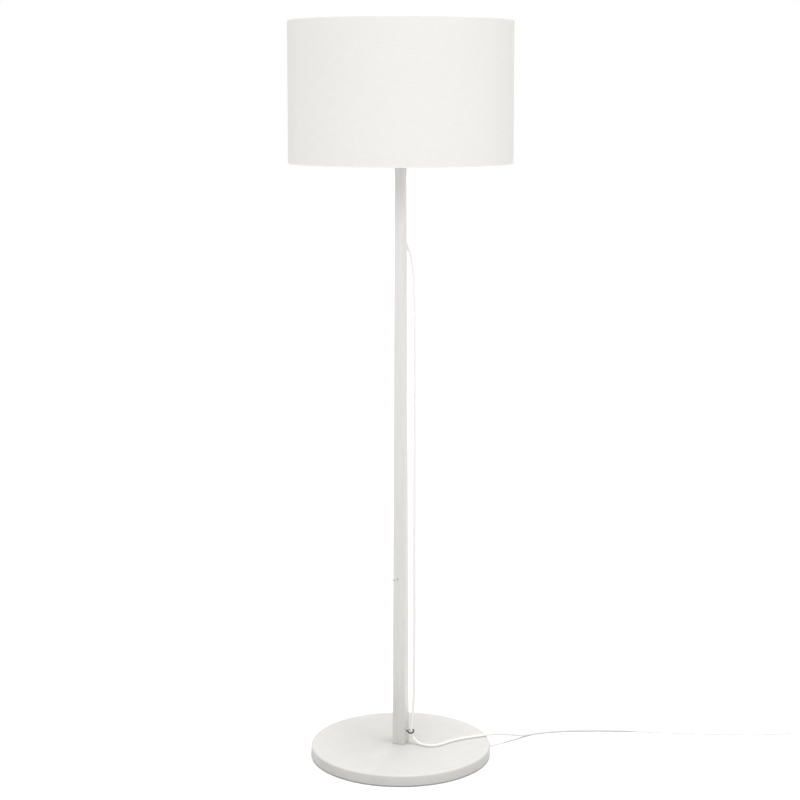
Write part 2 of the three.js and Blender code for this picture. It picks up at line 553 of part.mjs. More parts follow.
function buildCord() {
  const group = new THREE.Group();
  const lampPoints = withHalfway(lampCordRoute, cord.longSpan);
  const lampTube = tubeAlong(new PacedCurve(lampPoints), cord.radius, lampPoints.length - 1, 8);
  addTo(group, 'cord_lamp', lampTube, materials.cordJacket);

  const inside = footSwitch.x + footSwitch.length / 2 - 4;
  const low = coil.lift + cord.radius;
  const ringOuter = coilOuter + cord.radius + 0.1;
  const entryReach = Math.sqrt(ringOuter ** 2 - (coilY - footSwitch.y - cord.radius) ** 2) + gap;
  const tail = routeCurve([[inside, footSwitch.y, footSwitch.entry], [944, footSwitch.y, footSwitch.entry],
    [958, footSwitch.y, 6], [968, footSwitch.y, 4.3], [coil.x - entryReach, footSwitch.y, low]]);
  addTo(group, 'cord_tail', tubeAlong(tail, cord.radius, 8), materials.cordJacket);

  const bottom = coil.lift;
  const top = coil.lift + 4 * cord.radius + 0.1;
  const ringInner = coil.inner - cord.radius - 0.1;
  const side = 2;
  const ringProfile = [[ringInner + side, bottom], [ringOuter - side, bottom], [ringOuter, bottom + side],
    [ringOuter, top - side], [ringOuter - side, top], [ringInner + side, top], [ringInner, top - side],
    [ringInner, bottom + side], [ringInner + side, bottom]];
  const ring = addTo(group, 'cord_coil', lathe(ringProfile, 36), materials.cordJacket);
  ring.position.set(coil.x, coilY, 0);

  const tieWall = 0.7;
  const [across, upright] = [ringOuter - ringInner + 2 * gap, top - bottom + 2 * gap];
  const band = roundedRectangle(across + 2 * tieWall, upright + 2 * tieWall, 3);
  const bandHole = roundedRectangle(across, upright, 1.4);
  band.holes.push(bandHole);
  const tie = new THREE.ExtrudeGeometry(band, { depth: 4, bevelEnabled: false, curveSegments: 4 });
  tie.translate(0, 0, -2).rotateX(Math.PI / 2);
  const strap = addTo(group, 'coil_tie', tie, materials.whitePlastic);
  strap.position.set(coil.x + (ringOuter + ringInner) / 2, coilY, (top + bottom) / 2);

  const leadY = coilY + coilOuter;
  const leadReach = Math.sqrt(ringOuter ** 2 - (coilOuter - cord.radius) ** 2) + gap;
  const topLayer = low + 2 * cord.radius + 0.1;
  const middle = plug.height / 2;
  const lead = routeCurve([[coil.x - leadReach, leadY, topLayer], [966, leadY, 8.6], [955, leadY, 7.3],
    [plug.tip + gap, leadY, middle]]);
  addTo(group, 'cord_plug_lead', tubeAlong(lead, cord.radius, 6), materials.cordJacket);
  return group;
}

function buildPlug() {
  const group = new THREE.Group();
  group.position.set(plug.tip, coilY + coilOuter, plug.height / 2);
  group.rotation.z = Math.PI;
  const { relief: sleeve, body, width, neck, height, pin, pinLength, pinApart } = plug;
  const taper = lathe([[0, 0], [3.7, 0], [5.4, sleeve + 1], [0, sleeve + 1]], 24).rotateY(Math.PI / 2);
  const outline = new THREE.Shape();
  outline.moveTo(sleeve, -neck / 2);
  outline.lineTo(sleeve + 8, -neck / 2 - 1);
  outline.lineTo(sleeve + 22, -width / 2);
  outline.lineTo(sleeve + body, -width / 2);
  outline.lineTo(sleeve + body, width / 2);
  outline.lineTo(sleeve + 22, width / 2);
  outline.lineTo(sleeve + 8, neck / 2 + 1);
  outline.lineTo(sleeve, neck / 2);
  const slab = new THREE.ExtrudeGeometry(outline, { depth: height, bevelEnabled: false })
    .translate(0, 0, -height / 2);
  const sockets = [-1, 1].map((side) => disc(pin + gap, sleeve + body - 10, sleeve + body + 1, 0, 16)
    .rotateY(Math.PI / 2).translate(0, side * pinApart, 0));
  addTo(group, 'plug_body', cut(join(slab, taper), ...sockets), materials.whitePlastic);
  [-1, 1].forEach((side, i) => {
    const start = sleeve + body - 10 + gap;
    const end = sleeve + body + pinLength;
    const prong = lathe([[0, start], [pin, start], [pin, end - 1.2], [pin - 1, end], [0, end]], 20);
    const mesh = addTo(group, `plug_pin_${i + 1}`, prong.rotateY(Math.PI / 2), materials.nickel);
    mesh.position.set(0, side * pinApart, 0);
  });
  return group;
}

const floorLamp = new THREE.Group();
floorLamp.name = 'floor_lamp';
const builders = [
  buildBase, buildStem, buildHolder, buildBulb, buildShade, buildCord, buildSwitch, buildPlug,
];
builders.forEach((build) => {
  floorLamp.add(build());
});

export default floorLamp;
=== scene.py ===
import math
import bpy
from mathutils import Matrix, Vector


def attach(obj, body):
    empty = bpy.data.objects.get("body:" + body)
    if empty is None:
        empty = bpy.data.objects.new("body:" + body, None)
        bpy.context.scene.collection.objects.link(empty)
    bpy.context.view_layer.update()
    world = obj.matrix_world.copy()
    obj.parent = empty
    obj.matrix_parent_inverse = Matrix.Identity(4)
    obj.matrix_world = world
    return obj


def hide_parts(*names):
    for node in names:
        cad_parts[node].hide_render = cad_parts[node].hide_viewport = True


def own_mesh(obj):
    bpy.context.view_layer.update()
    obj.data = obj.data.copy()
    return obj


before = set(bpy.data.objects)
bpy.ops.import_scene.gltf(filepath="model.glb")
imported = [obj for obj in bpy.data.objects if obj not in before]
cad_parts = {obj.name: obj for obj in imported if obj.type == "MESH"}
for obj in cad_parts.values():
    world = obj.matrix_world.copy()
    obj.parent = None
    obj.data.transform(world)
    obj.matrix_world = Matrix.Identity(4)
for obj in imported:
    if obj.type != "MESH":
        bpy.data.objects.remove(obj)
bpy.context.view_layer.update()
print("frame loaded:", len(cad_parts), "nodes")

mm = 0.001
fullTurn = 2 * math.pi


# helpers for selecting, placing and finishing a piece

def clearSelection():
    if bpy.context.object and bpy.context.object.mode != "OBJECT":
        bpy.ops.object.mode_set(mode="OBJECT")
    bpy.ops.object.select_all(action="DESELECT")


def pick(piece):
    clearSelection()
    piece.select_set(True)
    bpy.context.view_layer.objects.active = piece


def editAll(piece, kind="VERT"):
    pick(piece)
    bpy.ops.object.mode_set(mode="EDIT")
    bpy.ops.mesh.select_mode(type=kind)
    bpy.ops.mesh.select_all(action="SELECT")


def objectMode():
    bpy.ops.object.mode_set(mode="OBJECT")


def settle(piece):
    # place, turn and size go into the mesh, so the object sits at the origin
    pick(piece)
    bpy.ops.object.transform_apply(location=True, rotation=True, scale=True)
    return piece


def placed(piece, matrix):
    piece.matrix_world = matrix
    return settle(piece)


def shiftBy(x, y, z):
    return Matrix.Translation((x * mm, y * mm, z * mm))


def turnBy(degrees, axis):
    return Matrix.Rotation(math.radians(degrees), 4, axis)


def selectWhere(piece, test, kind="FACE"):
    # edit mode with only the faces or edges picked whose middle and direction pass the test
    pick(piece)
    bpy.ops.object.mode_set(mode="EDIT")
    bpy.ops.mesh.select_mode(type=kind)
    bpy.ops.mesh.select_all(action="DESELECT")
    objectMode()
    mesh = piece.data
    if kind == "FACE":
        for face in mesh.polygons:
            face.select = test(face.center, face.normal)
    else:
        for edge in mesh.edges:
            first, second = (mesh.vertices[i].co for i in edge.vertices)
            edge.select = test((first + second) / 2, (second - first).normalized())
    bpy.ops.object.mode_set(mode="EDIT")


def raiseWhere(piece, test, height):
    # the picked faces are drawn out along their normals, or sunk when the height is below 0
    selectWhere(piece, test)
    bpy.ops.mesh.extrude_region_shrink_fatten(TRANSFORM_OT_shrink_fatten={"value": height * mm})
    objectMode()


def bevelWhere(piece, test, width, segments, kind="FACE"):
    selectWhere(piece, test, kind)
    bpy.ops.mesh.bevel(offset=width * mm, segments=segments, affect="EDGES")
    objectMode()


def applyModifier(piece, kind, **values):
    pick(piece)
    modifier = piece.modifiers.new(kind.lower(), kind)
    for key, value in values.items():
        setattr(modifier, key, value)
    bpy.ops.object.modifier_apply(modifier=modifier.name)
    return piece


def roundEdges(piece, width, segments=3, angle=32):
    return applyModifier(piece, "BEVEL", width=width * mm, segments=segments, limit_method="ANGLE",
                         angle_limit=math.radians(angle))


def smooth(piece, angle=38):
    pick(piece)
    bpy.ops.object.shade_smooth_by_angle(angle=math.radians(angle))
    return piece


def outward(piece):
    editAll(piece)
    bpy.ops.mesh.remove_doubles(threshold=1e-6)
    bpy.ops.mesh.normals_make_consistent(inside=False)
    objectMode()
    return piece


def drawOutline(name, points):
    # one vertex, extruded from point to point; points are in metres
    clearSelection()
    bpy.ops.mesh.primitive_plane_add(size=mm, location=(0, 0, 0))
    piece = bpy.context.object
    piece.name = name
    bpy.ops.object.mode_set(mode="EDIT")
    bpy.ops.mesh.select_mode(type="VERT")
    bpy.ops.mesh.select_all(action="SELECT")
    bpy.ops.mesh.merge(type="CENTER")
    bpy.ops.transform.translate(value=points[0])
    for start, end in zip(points, points[1:]):
        move = [b - a for a, b in zip(start, end)]
        bpy.ops.mesh.extrude_region_move(TRANSFORM_OT_translate={"value": move})
    return piece


def spun(name, profile, steps=96, closed=True):
    # the outline is spun round the upright axis
    outline = [(radius * mm, 0, height * mm) for radius, height in profile]
    if closed:
        outline.append(outline[0])
    piece = drawOutline(name, outline)
    bpy.ops.mesh.select_all(action="SELECT")
    bpy.ops.mesh.spin(steps=steps, angle=fullTurn, center=(0, 0, 0), axis=(0, 0, 1))
    objectMode()
    return outward(piece)


def slab(name, outline, low, high):
    # a flat outline, filled and drawn up to its thickness
    points = [(x * mm, y * mm, low * mm) for x, y in outline]
    piece = drawOutline(name, points + points[:1])
    bpy.ops.mesh.select_all(action="SELECT")
    bpy.ops.mesh.remove_doubles(threshold=1e-6)
    bpy.ops.mesh.edge_face_add()
    bpy.ops.mesh.extrude_region_move(TRANSFORM_OT_translate={"value": (0, 0, (high - low) * mm)})
    objectMode()
    return outward(piece)


def arc(middle, across, up, start, end, count):
    # points of a round stretch of an outline, angles in degrees
    angles = [math.radians(start + (end - start) * i / count) for i in range(count + 1)]
    return [(middle[0] + across * math.cos(a), middle[1] + up * math.sin(a)) for a in angles]


def roundedOutline(length, width, radius, count=8):
    x, y = length / 2 - radius, width / 2 - radius
    corners = [((x, y), 0), ((-x, y), 90), ((-x, -y), 180), ((x, -y), 270)]
    return [point for middle, start in corners
            for point in arc(middle, radius, radius, start, start + 90, count)]


def rod(name, radius, low, high, at=(0, 0), vertices=32):
    clearSelection()
    bpy.ops.mesh.primitive_cylinder_add(vertices=vertices, radius=radius * mm, depth=(high - low) * mm,
                                        location=(at[0] * mm, at[1] * mm, (high + low) / 2 * mm))
    bpy.context.object.name = name
    return settle(bpy.context.object)


def bar(name, low, high):
    clearSelection()
    bpy.ops.mesh.primitive_cube_add(size=1, location=[(a + b) / 2 * mm for a, b in zip(low, high)])
    piece = bpy.context.object
    piece.name = name
    piece.scale = [(b - a) * mm for a, b in zip(low, high)]
    return settle(piece)


def carve(piece, tool, operation="DIFFERENCE"):
    applyModifier(piece, "BOOLEAN", object=tool, operation=operation, solver="EXACT")
    bpy.data.objects.remove(tool)
    return piece


def copied(piece, name):
    copy = piece.copy()
    copy.data = piece.data.copy()
    copy.name = name
    bpy.context.scene.collection.objects.link(copy)
    return copy


def wireAlong(name, points, radius, around=6, steps=8):
    # a smooth curve through the points with a round thickness; points and radius in metres
    data = bpy.data.curves.new(name, "CURVE")
    data.dimensions = "3D"
    data.bevel_depth = radius
    data.bevel_resolution = around
    data.resolution_u = steps
    data.use_fill_caps = True
    line = data.splines.new("BEZIER")
    line.bezier_points.add(len(points) - 1)
    places = [Vector(point) for point in points]
    for i, knot in enumerate(line.bezier_points):
        # handles a third of each span long keep the bend even between the knots
        back = places[i] - places[max(i - 1, 0)]
        ahead = places[min(i + 1, len(places) - 1)] - places[i]
        along = (back.normalized() + ahead.normalized()).normalized()
        knot.handle_left_type = knot.handle_right_type = "FREE"
        knot.co = places[i]
        knot.handle_left = places[i] - along * back.length / 3
        knot.handle_right = places[i] + along * ahead.length / 3
    piece = bpy.data.objects.new(name, data)
    bpy.context.scene.collection.objects.link(piece)
    return piece


def toMesh(piece):
    pick(piece)
    bpy.ops.object.convert(target="MESH")
    return outward(bpy.context.object)


def crossSlot(middle, length, width, low, high):
    # the tool that cuts a cross recess in a screw head
    halves = [bar("crossSlotTool", (middle[0] - a / 2, middle[1] - b / 2, low),
                  (middle[0] + a / 2, middle[1] + b / 2, high))
              for a, b in ((length, width), (width, length))]
    return carve(halves[0], halves[1], "UNION")


def fit(piece, finish, slotName, body, *nodes):
    # the finish, a slot name that nothing reads, the body that carries the piece and the nodes that it stands
    # for
    piece.data.materials.clear()
    piece.data.materials.append(finish)
    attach(piece, body)
    if nodes:
        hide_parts(*nodes)
    return piece


# camera

cameraSetup = {"place": (0, -3.4047, 1.2904), "tilt": 83.012, "lens": 79.552, "sensor": 36,
               "shiftX": -0.0009, "shiftY": -0.1}


def makeCamera():
    clearSelection()
    bpy.ops.object.camera_add(location=cameraSetup["place"],
                              rotation=(math.radians(cameraSetup["tilt"]), 0, 0))
    camera = bpy.context.object
    camera.name = "camera"
    camera.data.sensor_width = cameraSetup["sensor"]
    camera.data.lens = cameraSetup["lens"]
    camera.data.shift_x = cameraSetup["shiftX"]
    camera.data.shift_y = cameraSetup["shiftY"]
    camera.data.clip_end = 200
    bpy.context.scene.camera = camera


makeCamera()
print("camera placed")


# finishes

def node(tree, kind, values=None, **settings):
    made = tree.nodes.new("ShaderNode" + kind)
    for setting, value in settings.items():
        setattr(made, setting, value)
    for socket, value in (values or {}).items():
        if isinstance(value, bpy.types.NodeSocket):
            tree.links.new(value, made.inputs[socket])
        else:
            made.inputs[socket].default_value = value
    return made


def newFinish(name, sockets):
    finish = bpy.data.materials.new(name)
    finish.use_nodes = True
    shader = finish.node_tree.nodes["Principled BSDF"]
    for socket, value in sockets.items():
        shader.inputs[socket].default_value = value
    return finish, finish.node_tree, shader


def dress(tree, shader, colour, roughness, normal):
    tree.links.new(colour, shader.inputs["Base Color"])
    tree.links.new(roughness, shader.inputs["Roughness"])
    tree.links.new(normal, shader.inputs["Normal"])


def onObject(tree, stretch=(1, 1, 1), shift=(0, 0, 0), turn=0):
    place = node(tree, "TexCoord").outputs["Object"]
    return node(tree, "Mapping", {"Vector": place, "Location": shift, "Rotation": (0, 0, turn),
                                  "Scale": stretch}).outputs["Vector"]


def cloud(tree, place, scale, detail=4, rough=0.55, distort=0):
    return node(tree, "TexNoise", {"Vector": place, "Scale": scale, "Detail": detail, "Roughness": rough,
                                   "Distortion": distort}).outputs["Fac"]


def ramp(tree, factor, *stops):
    made = node(tree, "ValToRGB", {"Fac": factor})
    elements = made.color_ramp.elements
    for element, (position, colour) in ((elements[0], stops[0]), (elements[1], stops[-1])):
        element.position = position
        element.color = (*colour, 1)
    for position, colour in stops[1:-1]:
        elements.new(position).color = (*colour, 1)
    return made.outputs["Color"]


def spread(tree, factor, fromLow, fromHigh, low, high, kind="SMOOTHSTEP"):
    return node(tree, "MapRange", {"Value": factor, "From Min": fromLow, "From Max": fromHigh, "To Min": low,
                                   "To Max": high}, interpolation_type=kind).outputs["Result"]


def relief(tree, height, strength, depth, under=None):
    values = {"Height": height, "Strength": strength, "Distance": depth * mm}
    if under:
        values["Normal"] = under
    return node(tree, "Bump", values).outputs["Normal"]


def sums(tree, operation, first, second=0.0):
    return node(tree, "Math", {0: first, 1: second}, operation=operation).outputs["Value"]


def tint(tree, factor, under, over):
    return node(tree, "Mix", {0: factor, 6: under, 7: over}, data_type="RGBA").outputs[2]


def spot(tree, middle, size, turn=0):
    # 1 in the middle of an oval spot, 0 outside it; middle and size in millimetres
    place = node(tree, "TexCoord").outputs["Object"]
    own = node(tree, "Mapping", {"Vector": place, "Location": [c * mm for c in middle],
                                 "Rotation": (0, 0, turn),
                                 "Scale": [s * mm for s in size]}, vector_type="TEXTURE").outputs["Vector"]
    distance = node(tree, "VectorMath", {0: own}, operation="LENGTH").outputs["Value"]
    return spread(tree, distance, 0.45, 1.0, 1, 0)


def mouldedPlastic(name, pale, deep, gloss, sockets=None):
    # faint clouding, a fine spark texture and slightly uneven gloss
    finish, tree, shader = newFinish(name, {"IOR": 1.49, **(sockets or {})})
    place = onObject(tree)
    colour = ramp(tree, cloud(tree, place, 45, 3), (0.3, deep), (0.7, pale))
    scuffs = cloud(tree, onObject(tree, (1, 1, 4)), 420, 5, 0.6)
    roughness = spread(tree, scuffs, 0.35, 0.7, gloss - 0.05, gloss + 0.09)
    spark = relief(tree, cloud(tree, place, 2600, 2), 0.12, 0.05)
    dress(tree, shader, colour, roughness, relief(tree, scuffs, 0.06, 0.05, spark))
    return finish


def bareMetal(name, bright, dull, gloss, stretch=(1, 1, 1), sockets=None):
    # drawn or turned metal: fine lines along the stretch, dull patches
    finish, tree, shader = newFinish(name, {"Metallic": 1.0, **(sockets or {})})
    lines = cloud(tree, onObject(tree, stretch), 900, 4, 0.6)
    patches = cloud(tree, onObject(tree), 160, 5, 0.6)
    colour = ramp(tree, patches, (0.3, dull), (0.65, bright))
    roughness = spread(tree, sums(tree, "ADD", lines, patches), 0.7, 1.3, gloss - 0.08, gloss + 0.14)
    dress(tree, shader, colour, roughness, relief(tree, lines, 0.25, 0.05))
    return finish


def paintedBoardFinish():
    # sprayed and lightly rolled board: stipple, a soft mottle, thin paint along the rim
    look = {"paint": (0.672, 0.665, 0.644), "mottle": (0.638, 0.63, 0.608), "rim": (0.56, 0.54, 0.51),
            "rimZone": (0.1755, 0.1775), "topZone": (0.0195, 0.0225)}
    finish, tree, shader = newFinish("paintedBoard", {"IOR": 1.45, "Specular IOR Level": 0.35})
    place = onObject(tree)
    mottle = cloud(tree, place, 14, 5, 0.6, 0.3)
    paint = ramp(tree, mottle, (0.32, look["mottle"]), (0.62, look["paint"]))
    fromAxis = node(tree, "VectorMath", {0: onObject(tree, (1, 1, 0))}, operation="LENGTH").outputs["Value"]
    nearRim = spread(tree, fromAxis, *look["rimZone"], 0, 1)
    height = node(tree, "SeparateXYZ", {0: place}).outputs["Z"]
    nearTop = spread(tree, height, *look["topZone"], 0, 1)
    chips = spread(tree, cloud(tree, place, 95, 6, 0.62), 0.6, 0.68, 0, 0.55)
    worn = sums(tree, "MULTIPLY", sums(tree, "MULTIPLY", nearRim, nearTop), chips)
    colour = tint(tree, worn, paint, (*look["rim"], 1))
    stipple = cloud(tree, place, 700, 3, 0.5)
    roughness = spread(tree, cloud(tree, place, 60, 4), 0.3, 0.7, 0.42, 0.56)
    orangePeel = relief(tree, cloud(tree, place, 190, 2), 0.12, 0.1)
    dress(tree, shader, colour, roughness, relief(tree, stipple, 0.16, 0.06, orangePeel))
    return finish


def paintedWoodFinish():
    # white paint over straight grain: lines along the stem, small knots, thin paint on the edges
    look = {"paint": (0.705, 0.696, 0.674), "grain": (0.662, 0.652, 0.625), "knot": (0.12, 0.10, 0.08),
            "edge": (0.6, 0.575, 0.53), "stemEnds": (0.0233, 1.193), "stemHalves": (0.013, 0.0091)}
    finish, tree, shader = newFinish("paintedWood", {"IOR": 1.45, "Specular IOR Level": 0.45,
                                                     "Coat Weight": 0.9, "Coat Roughness": 0.25})
    local = onObject(tree, turn=math.radians(20))
    along = node(tree, "Mapping", {"Vector": local, "Scale": (1, 1, 0.045)}).outputs["Vector"]
    pores = cloud(tree, along, 900, 4, 0.65)
    bands = cloud(tree, along, 170, 5, 0.6, 0.8)
    grain = sums(tree, "ADD", sums(tree, "MULTIPLY", bands, 0.65), sums(tree, "MULTIPLY", pores, 0.35))
    paint = ramp(tree, grain, (0.36, look["grain"]), (0.6, look["paint"]))
    parts = node(tree, "SeparateXYZ", {0: local})
    across = sums(tree, "MINIMUM", sums(tree, "ABSOLUTE", parts.outputs["X"]),
                  sums(tree, "ABSOLUTE", parts.outputs["Y"]))
    half = spread(tree, parts.outputs["Z"], *look["stemEnds"], *look["stemHalves"], "LINEAR")
    nearEdge = spread(tree, sums(tree, "DIVIDE", across, half), 0.84, 0.95, 0, 1)
    rubbed = spread(tree, cloud(tree, onObject(tree, (1, 1, 0.2)), 60, 6, 0.6), 0.56, 0.66, 0, 0.5)
    colour = tint(tree, sums(tree, "MULTIPLY", nearEdge, rubbed), paint, (*look["edge"], 1))
    # two pin knots side by side, a short dark hair line near the foot and a faint dint
    marks = (((-13.0, -7.9, 357.2), (1.5, 3, 2.3), 1.0), ((-6.2, -10.4, 359.6), (1.35, 3, 2.1), 1.0),
             ((-7.6, -10.2, 358.2), (1.2, 3, 1.4), 0.35), ((-10.6, -9.4, 101.5), (0.55, 3, 17), 0.35),
             ((-12.6, -8.8, 82), (0.6, 3, 5), 0.3), ((4.5, -13.6, 132.5), (1.2, 3, 2), 0.35),
             ((9.5, 9.0, 610), (1.3, 4, 2.2), 0.8), ((-10, 5.5, 820), (1.3, 3, 2), 0.6))
    dark = None
    for middle, size, weight in marks:
        mark = sums(tree, "MULTIPLY", spot(tree, middle, size), weight)
        dark = mark if dark is None else sums(tree, "MAXIMUM", dark, mark)
    colour = tint(tree, dark, colour, (*look["knot"], 1))
    roughness = spread(tree, grain, 0.3, 0.65, 0.52, 0.38)
    brushed = relief(tree, grain, 0.3, 0.12)
    sunk = sums(tree, "MULTIPLY", dark, -1.0)
    dress(tree, shader, colour, roughness, relief(tree, sunk, 0.5, 0.4, brushed))
    return finish


def wovenFinish(name, look, sockets):
    # plain weave on the cloth's own map, which is in metres along and across the cloth
    finish, tree, shader = newFinish(name, sockets)
    clothMap = node(tree, "UVMap", uv_map="cloth").outputs["UV"]
    parts = node(tree, "SeparateXYZ", {0: clothMap})
    turns = fullTurn / (look["thread"] * mm)
    warp = sums(tree, "SINE", sums(tree, "MULTIPLY", parts.outputs["X"], turns))
    weft = sums(tree, "SINE", sums(tree, "MULTIPLY", parts.outputs["Y"], turns))
    weave = sums(tree, "MULTIPLY", warp, weft)
    slubAlong = cloud(tree, node(tree, "Mapping", {"Vector": clothMap,
                                                   "Scale": (0.03, 1, 1)}).outputs["Vector"], 1100, 3, 0.6)
    slubUp = cloud(tree, node(tree, "Mapping", {"Vector": clothMap, "Scale": (1, 0.05, 1)}).outputs["Vector"],
                   1300, 3, 0.6)
    slubs = sums(tree, "MULTIPLY", sums(tree, "ADD", slubAlong, slubUp), 0.5)
    sweep = cloud(tree, node(tree, "Mapping", {"Vector": clothMap, "Scale": (1, 0.6, 1)}).outputs["Vector"],
                  9, 3, 0.5)
    base = ramp(tree, slubs, (0.38, look["slub"]), (0.6, look["cloth"]))
    # the low points of the weave are tinted darker: painted shade between the threads
    gaps = spread(tree, weave, -1, -0.3, look["gapDepth"], 0)
    colour = tint(tree, gaps, base, (*look["gap"], 1))
    colour = tint(tree, spread(tree, sweep, 0.4, 0.7, 0, 0.25), colour, (*look["slub"], 1))
    roughness = spread(tree, slubs, 0.35, 0.65, look["rough"] - 0.07, look["rough"] + 0.06)
    threads = relief(tree, weave, 0.35, 0.09)
    dress(tree, shader, colour, roughness, relief(tree, slubs, 0.3, 0.1, threads))
    return finish


def linerFinish():
    # pale film behind the cloth, slightly glossy, with the cloth's texture printing through
    finish, tree, shader = newFinish("shadeLinerFilm", {"IOR": 1.5})
    place = onObject(tree)
    colour = ramp(tree, cloud(tree, place, 12, 4), (0.3, (0.72, 0.71, 0.685)), (0.7, (0.78, 0.772, 0.75)))
    ripple = cloud(tree, onObject(tree, (1, 1, 0.3)), 55, 3)
    roughness = spread(tree, cloud(tree, place, 240, 4), 0.3, 0.7, 0.38, 0.52)
    dress(tree, shader, colour, roughness, relief(tree, cloud(tree, place, 1500, 2), 0.12, 0.05,
                                                  relief(tree, ripple, 0.1, 0.3)))
    return finish


def feltFinish():
    finish, tree, shader = newFinish("padFelt", {"Sheen Weight": 0.4, "Specular IOR Level": 0.2})
    fibres = cloud(tree, onObject(tree), 1500, 6, 0.75, 1.6)
    tufts = cloud(tree, onObject(tree), 260, 4)
    colour = ramp(tree, sums(tree, "MULTIPLY", sums(tree, "ADD", fibres, tufts), 0.5),
                  (0.35, (0.5, 0.49, 0.46)), (0.65, (0.68, 0.67, 0.64)))
    dress(tree, shader, colour, spread(tree, fibres, 0.3, 0.7, 0.9, 1), relief(tree, fibres, 0.7, 0.3))
    return finish


def castIronFinish():
    finish, tree, shader = newFinish("ballastIron", {"Metallic": 0.7})
    skin = cloud(tree, onObject(tree), 420, 7, 0.65)
    rust = spread(tree, cloud(tree, onObject(tree), 28, 6, 0.65), 0.55, 0.7, 0, 0.6)
    colour = tint(tree, rust, ramp(tree, skin, (0.35, (0.05, 0.05, 0.052)), (0.7, (0.13, 0.13, 0.135))),
                  (0.2, 0.09, 0.04, 1))
    pits = node(tree, "TexVoronoi", {"Vector": onObject(tree), "Scale": 330}).outputs["Distance"]
    dress(tree, shader, colour, spread(tree, skin, 0.3, 0.7, 0.6, 0.82),
          relief(tree, skin, 0.5, 0.25, relief(tree, pits, 0.25, 0.2)))
    return finish


def cordFinish():
    # soft extruded jacket: faint handling marks and a fine even texture
    finish, tree, shader = newFinish("cordJacket",
                                     {"IOR": 1.5, "Subsurface Weight": 0.0, "Coat Weight": 0.08})
    place = onObject(tree)
    marks = cloud(tree, place, 70, 5, 0.6)
    colour = ramp(tree, marks, (0.3, (0.85, 0.845, 0.825)), (0.65, (0.89, 0.887, 0.875)))
    roughness = spread(tree, cloud(tree, place, 380, 4), 0.3, 0.7, 0.34, 0.5)
    dress(tree, shader, colour, roughness, relief(tree, cloud(tree, place, 1100, 3), 0.12, 0.05))
    return finish


def ceramicFinish():
    finish, tree, shader = newFinish("holderCeramic", {"Coat Weight": 0.4, "Coat Roughness": 0.2})
    place = onObject(tree)
    specks = node(tree, "TexVoronoi", {"Vector": place, "Scale": 700}).outputs["Distance"]
    glaze = ramp(tree, cloud(tree, place, 60, 4), (0.3, (0.77, 0.75, 0.69)), (0.7, (0.84, 0.82, 0.77)))
    colour = tint(tree, spread(tree, specks, 0.06, 0.12, 0.5, 0), glaze, (0.45, 0.4, 0.33, 1))
    dress(tree, shader, colour, spread(tree, cloud(tree, place, 300, 3), 0.3, 0.7, 0.3, 0.45),
          relief(tree, cloud(tree, place, 500, 3), 0.2, 0.08))
    return finish


def frostedFinish():
    # milky bulb cover: even matt frost with faint clouding
    finish, tree, shader = newFinish("bulbFrost", {"IOR": 1.5, "Coat Weight": 0.15, "Coat Roughness": 0.25})
    place = onObject(tree)
    colour = ramp(tree, cloud(tree, place, 40, 3), (0.3, (0.9, 0.9, 0.88)), (0.7, (0.94, 0.94, 0.925)))
    frost = cloud(tree, place, 1900, 3, 0.6)
    dress(tree, shader, colour, spread(tree, frost, 0.3, 0.7, 0.34, 0.46), relief(tree, frost, 0.18, 0.04))
    return finish


boardPaint = paintedBoardFinish()
woodPaint = paintedWoodFinish()
drumCloth = wovenFinish("drumCloth", {"thread": 0.62, "cloth": (0.85, 0.84, 0.815),
                                      "slub": (0.805, 0.793, 0.764), "gap": (0.6, 0.585, 0.55),
                                      "gapDepth": 0.35, "rough": 0.86},
                        {"Sheen Weight": 0.0, "Specular IOR Level": 0.1})
linerFilm = linerFinish()
padFelt = feltFinish()
ballastIron = castIronFinish()
cordJacket = cordFinish()
holderCeramic = ceramicFinish()
bulbFrost = frostedFinish()
whitePlastic = mouldedPlastic("whitePlastic", (0.81, 0.81, 0.795), (0.76, 0.758, 0.74), 0.34,
                              {"Coat Weight": 0.1})
whiteSteel = mouldedPlastic("whiteEnamelSteel", (0.84, 0.838, 0.82), (0.79, 0.786, 0.765), 0.3,
                            {"Coat Weight": 0.25})
liveJacket = mouldedPlastic("liveJacket", (0.17, 0.075, 0.035), (0.12, 0.05, 0.022), 0.42)
neutralJacket = mouldedPlastic("neutralJacket", (0.05, 0.16, 0.42), (0.035, 0.11, 0.32), 0.42)
zincSteel = bareMetal("zincSteel", (0.62, 0.63, 0.64), (0.46, 0.47, 0.48), 0.36, (1, 1, 6))
darkSteel = bareMetal("darkSteel", (0.085, 0.078, 0.07), (0.045, 0.042, 0.038), 0.42, (3, 3, 3))
warmBrass = bareMetal("warmBrass", (0.76, 0.55, 0.26), (0.6, 0.42, 0.19), 0.32, (1, 1, 6))
brightNickel = bareMetal("brightNickel", (0.74, 0.735, 0.72), (0.6, 0.595, 0.58), 0.22, (1, 1, 8))
print("finishes made:", len(bpy.data.materials))


# hidden and plain nodes keep their shape and get a finish
keptNodes = {"ballast_plate": ballastIron, "stem_insert": warmBrass, "locating_dowel": zincSteel,
             "stem_lead": cordJacket, "threaded_nipple": zincSteel, "holder_core": holderCeramic,
             "holder_screw_shell": brightNickel, "centre_contact": warmBrass, "live_wire": liveJacket,
             "neutral_wire": neutralJacket, "bulb_screw_cap": brightNickel, "bulb_contact": warmBrass,
             "bulb_led_board": zincSteel, "switch_contact_block": holderCeramic}
for nodeName, finish in keptNodes.items():
    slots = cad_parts[nodeName].material_slots
    for materialSlot in slots:
        materialSlot.material = finish


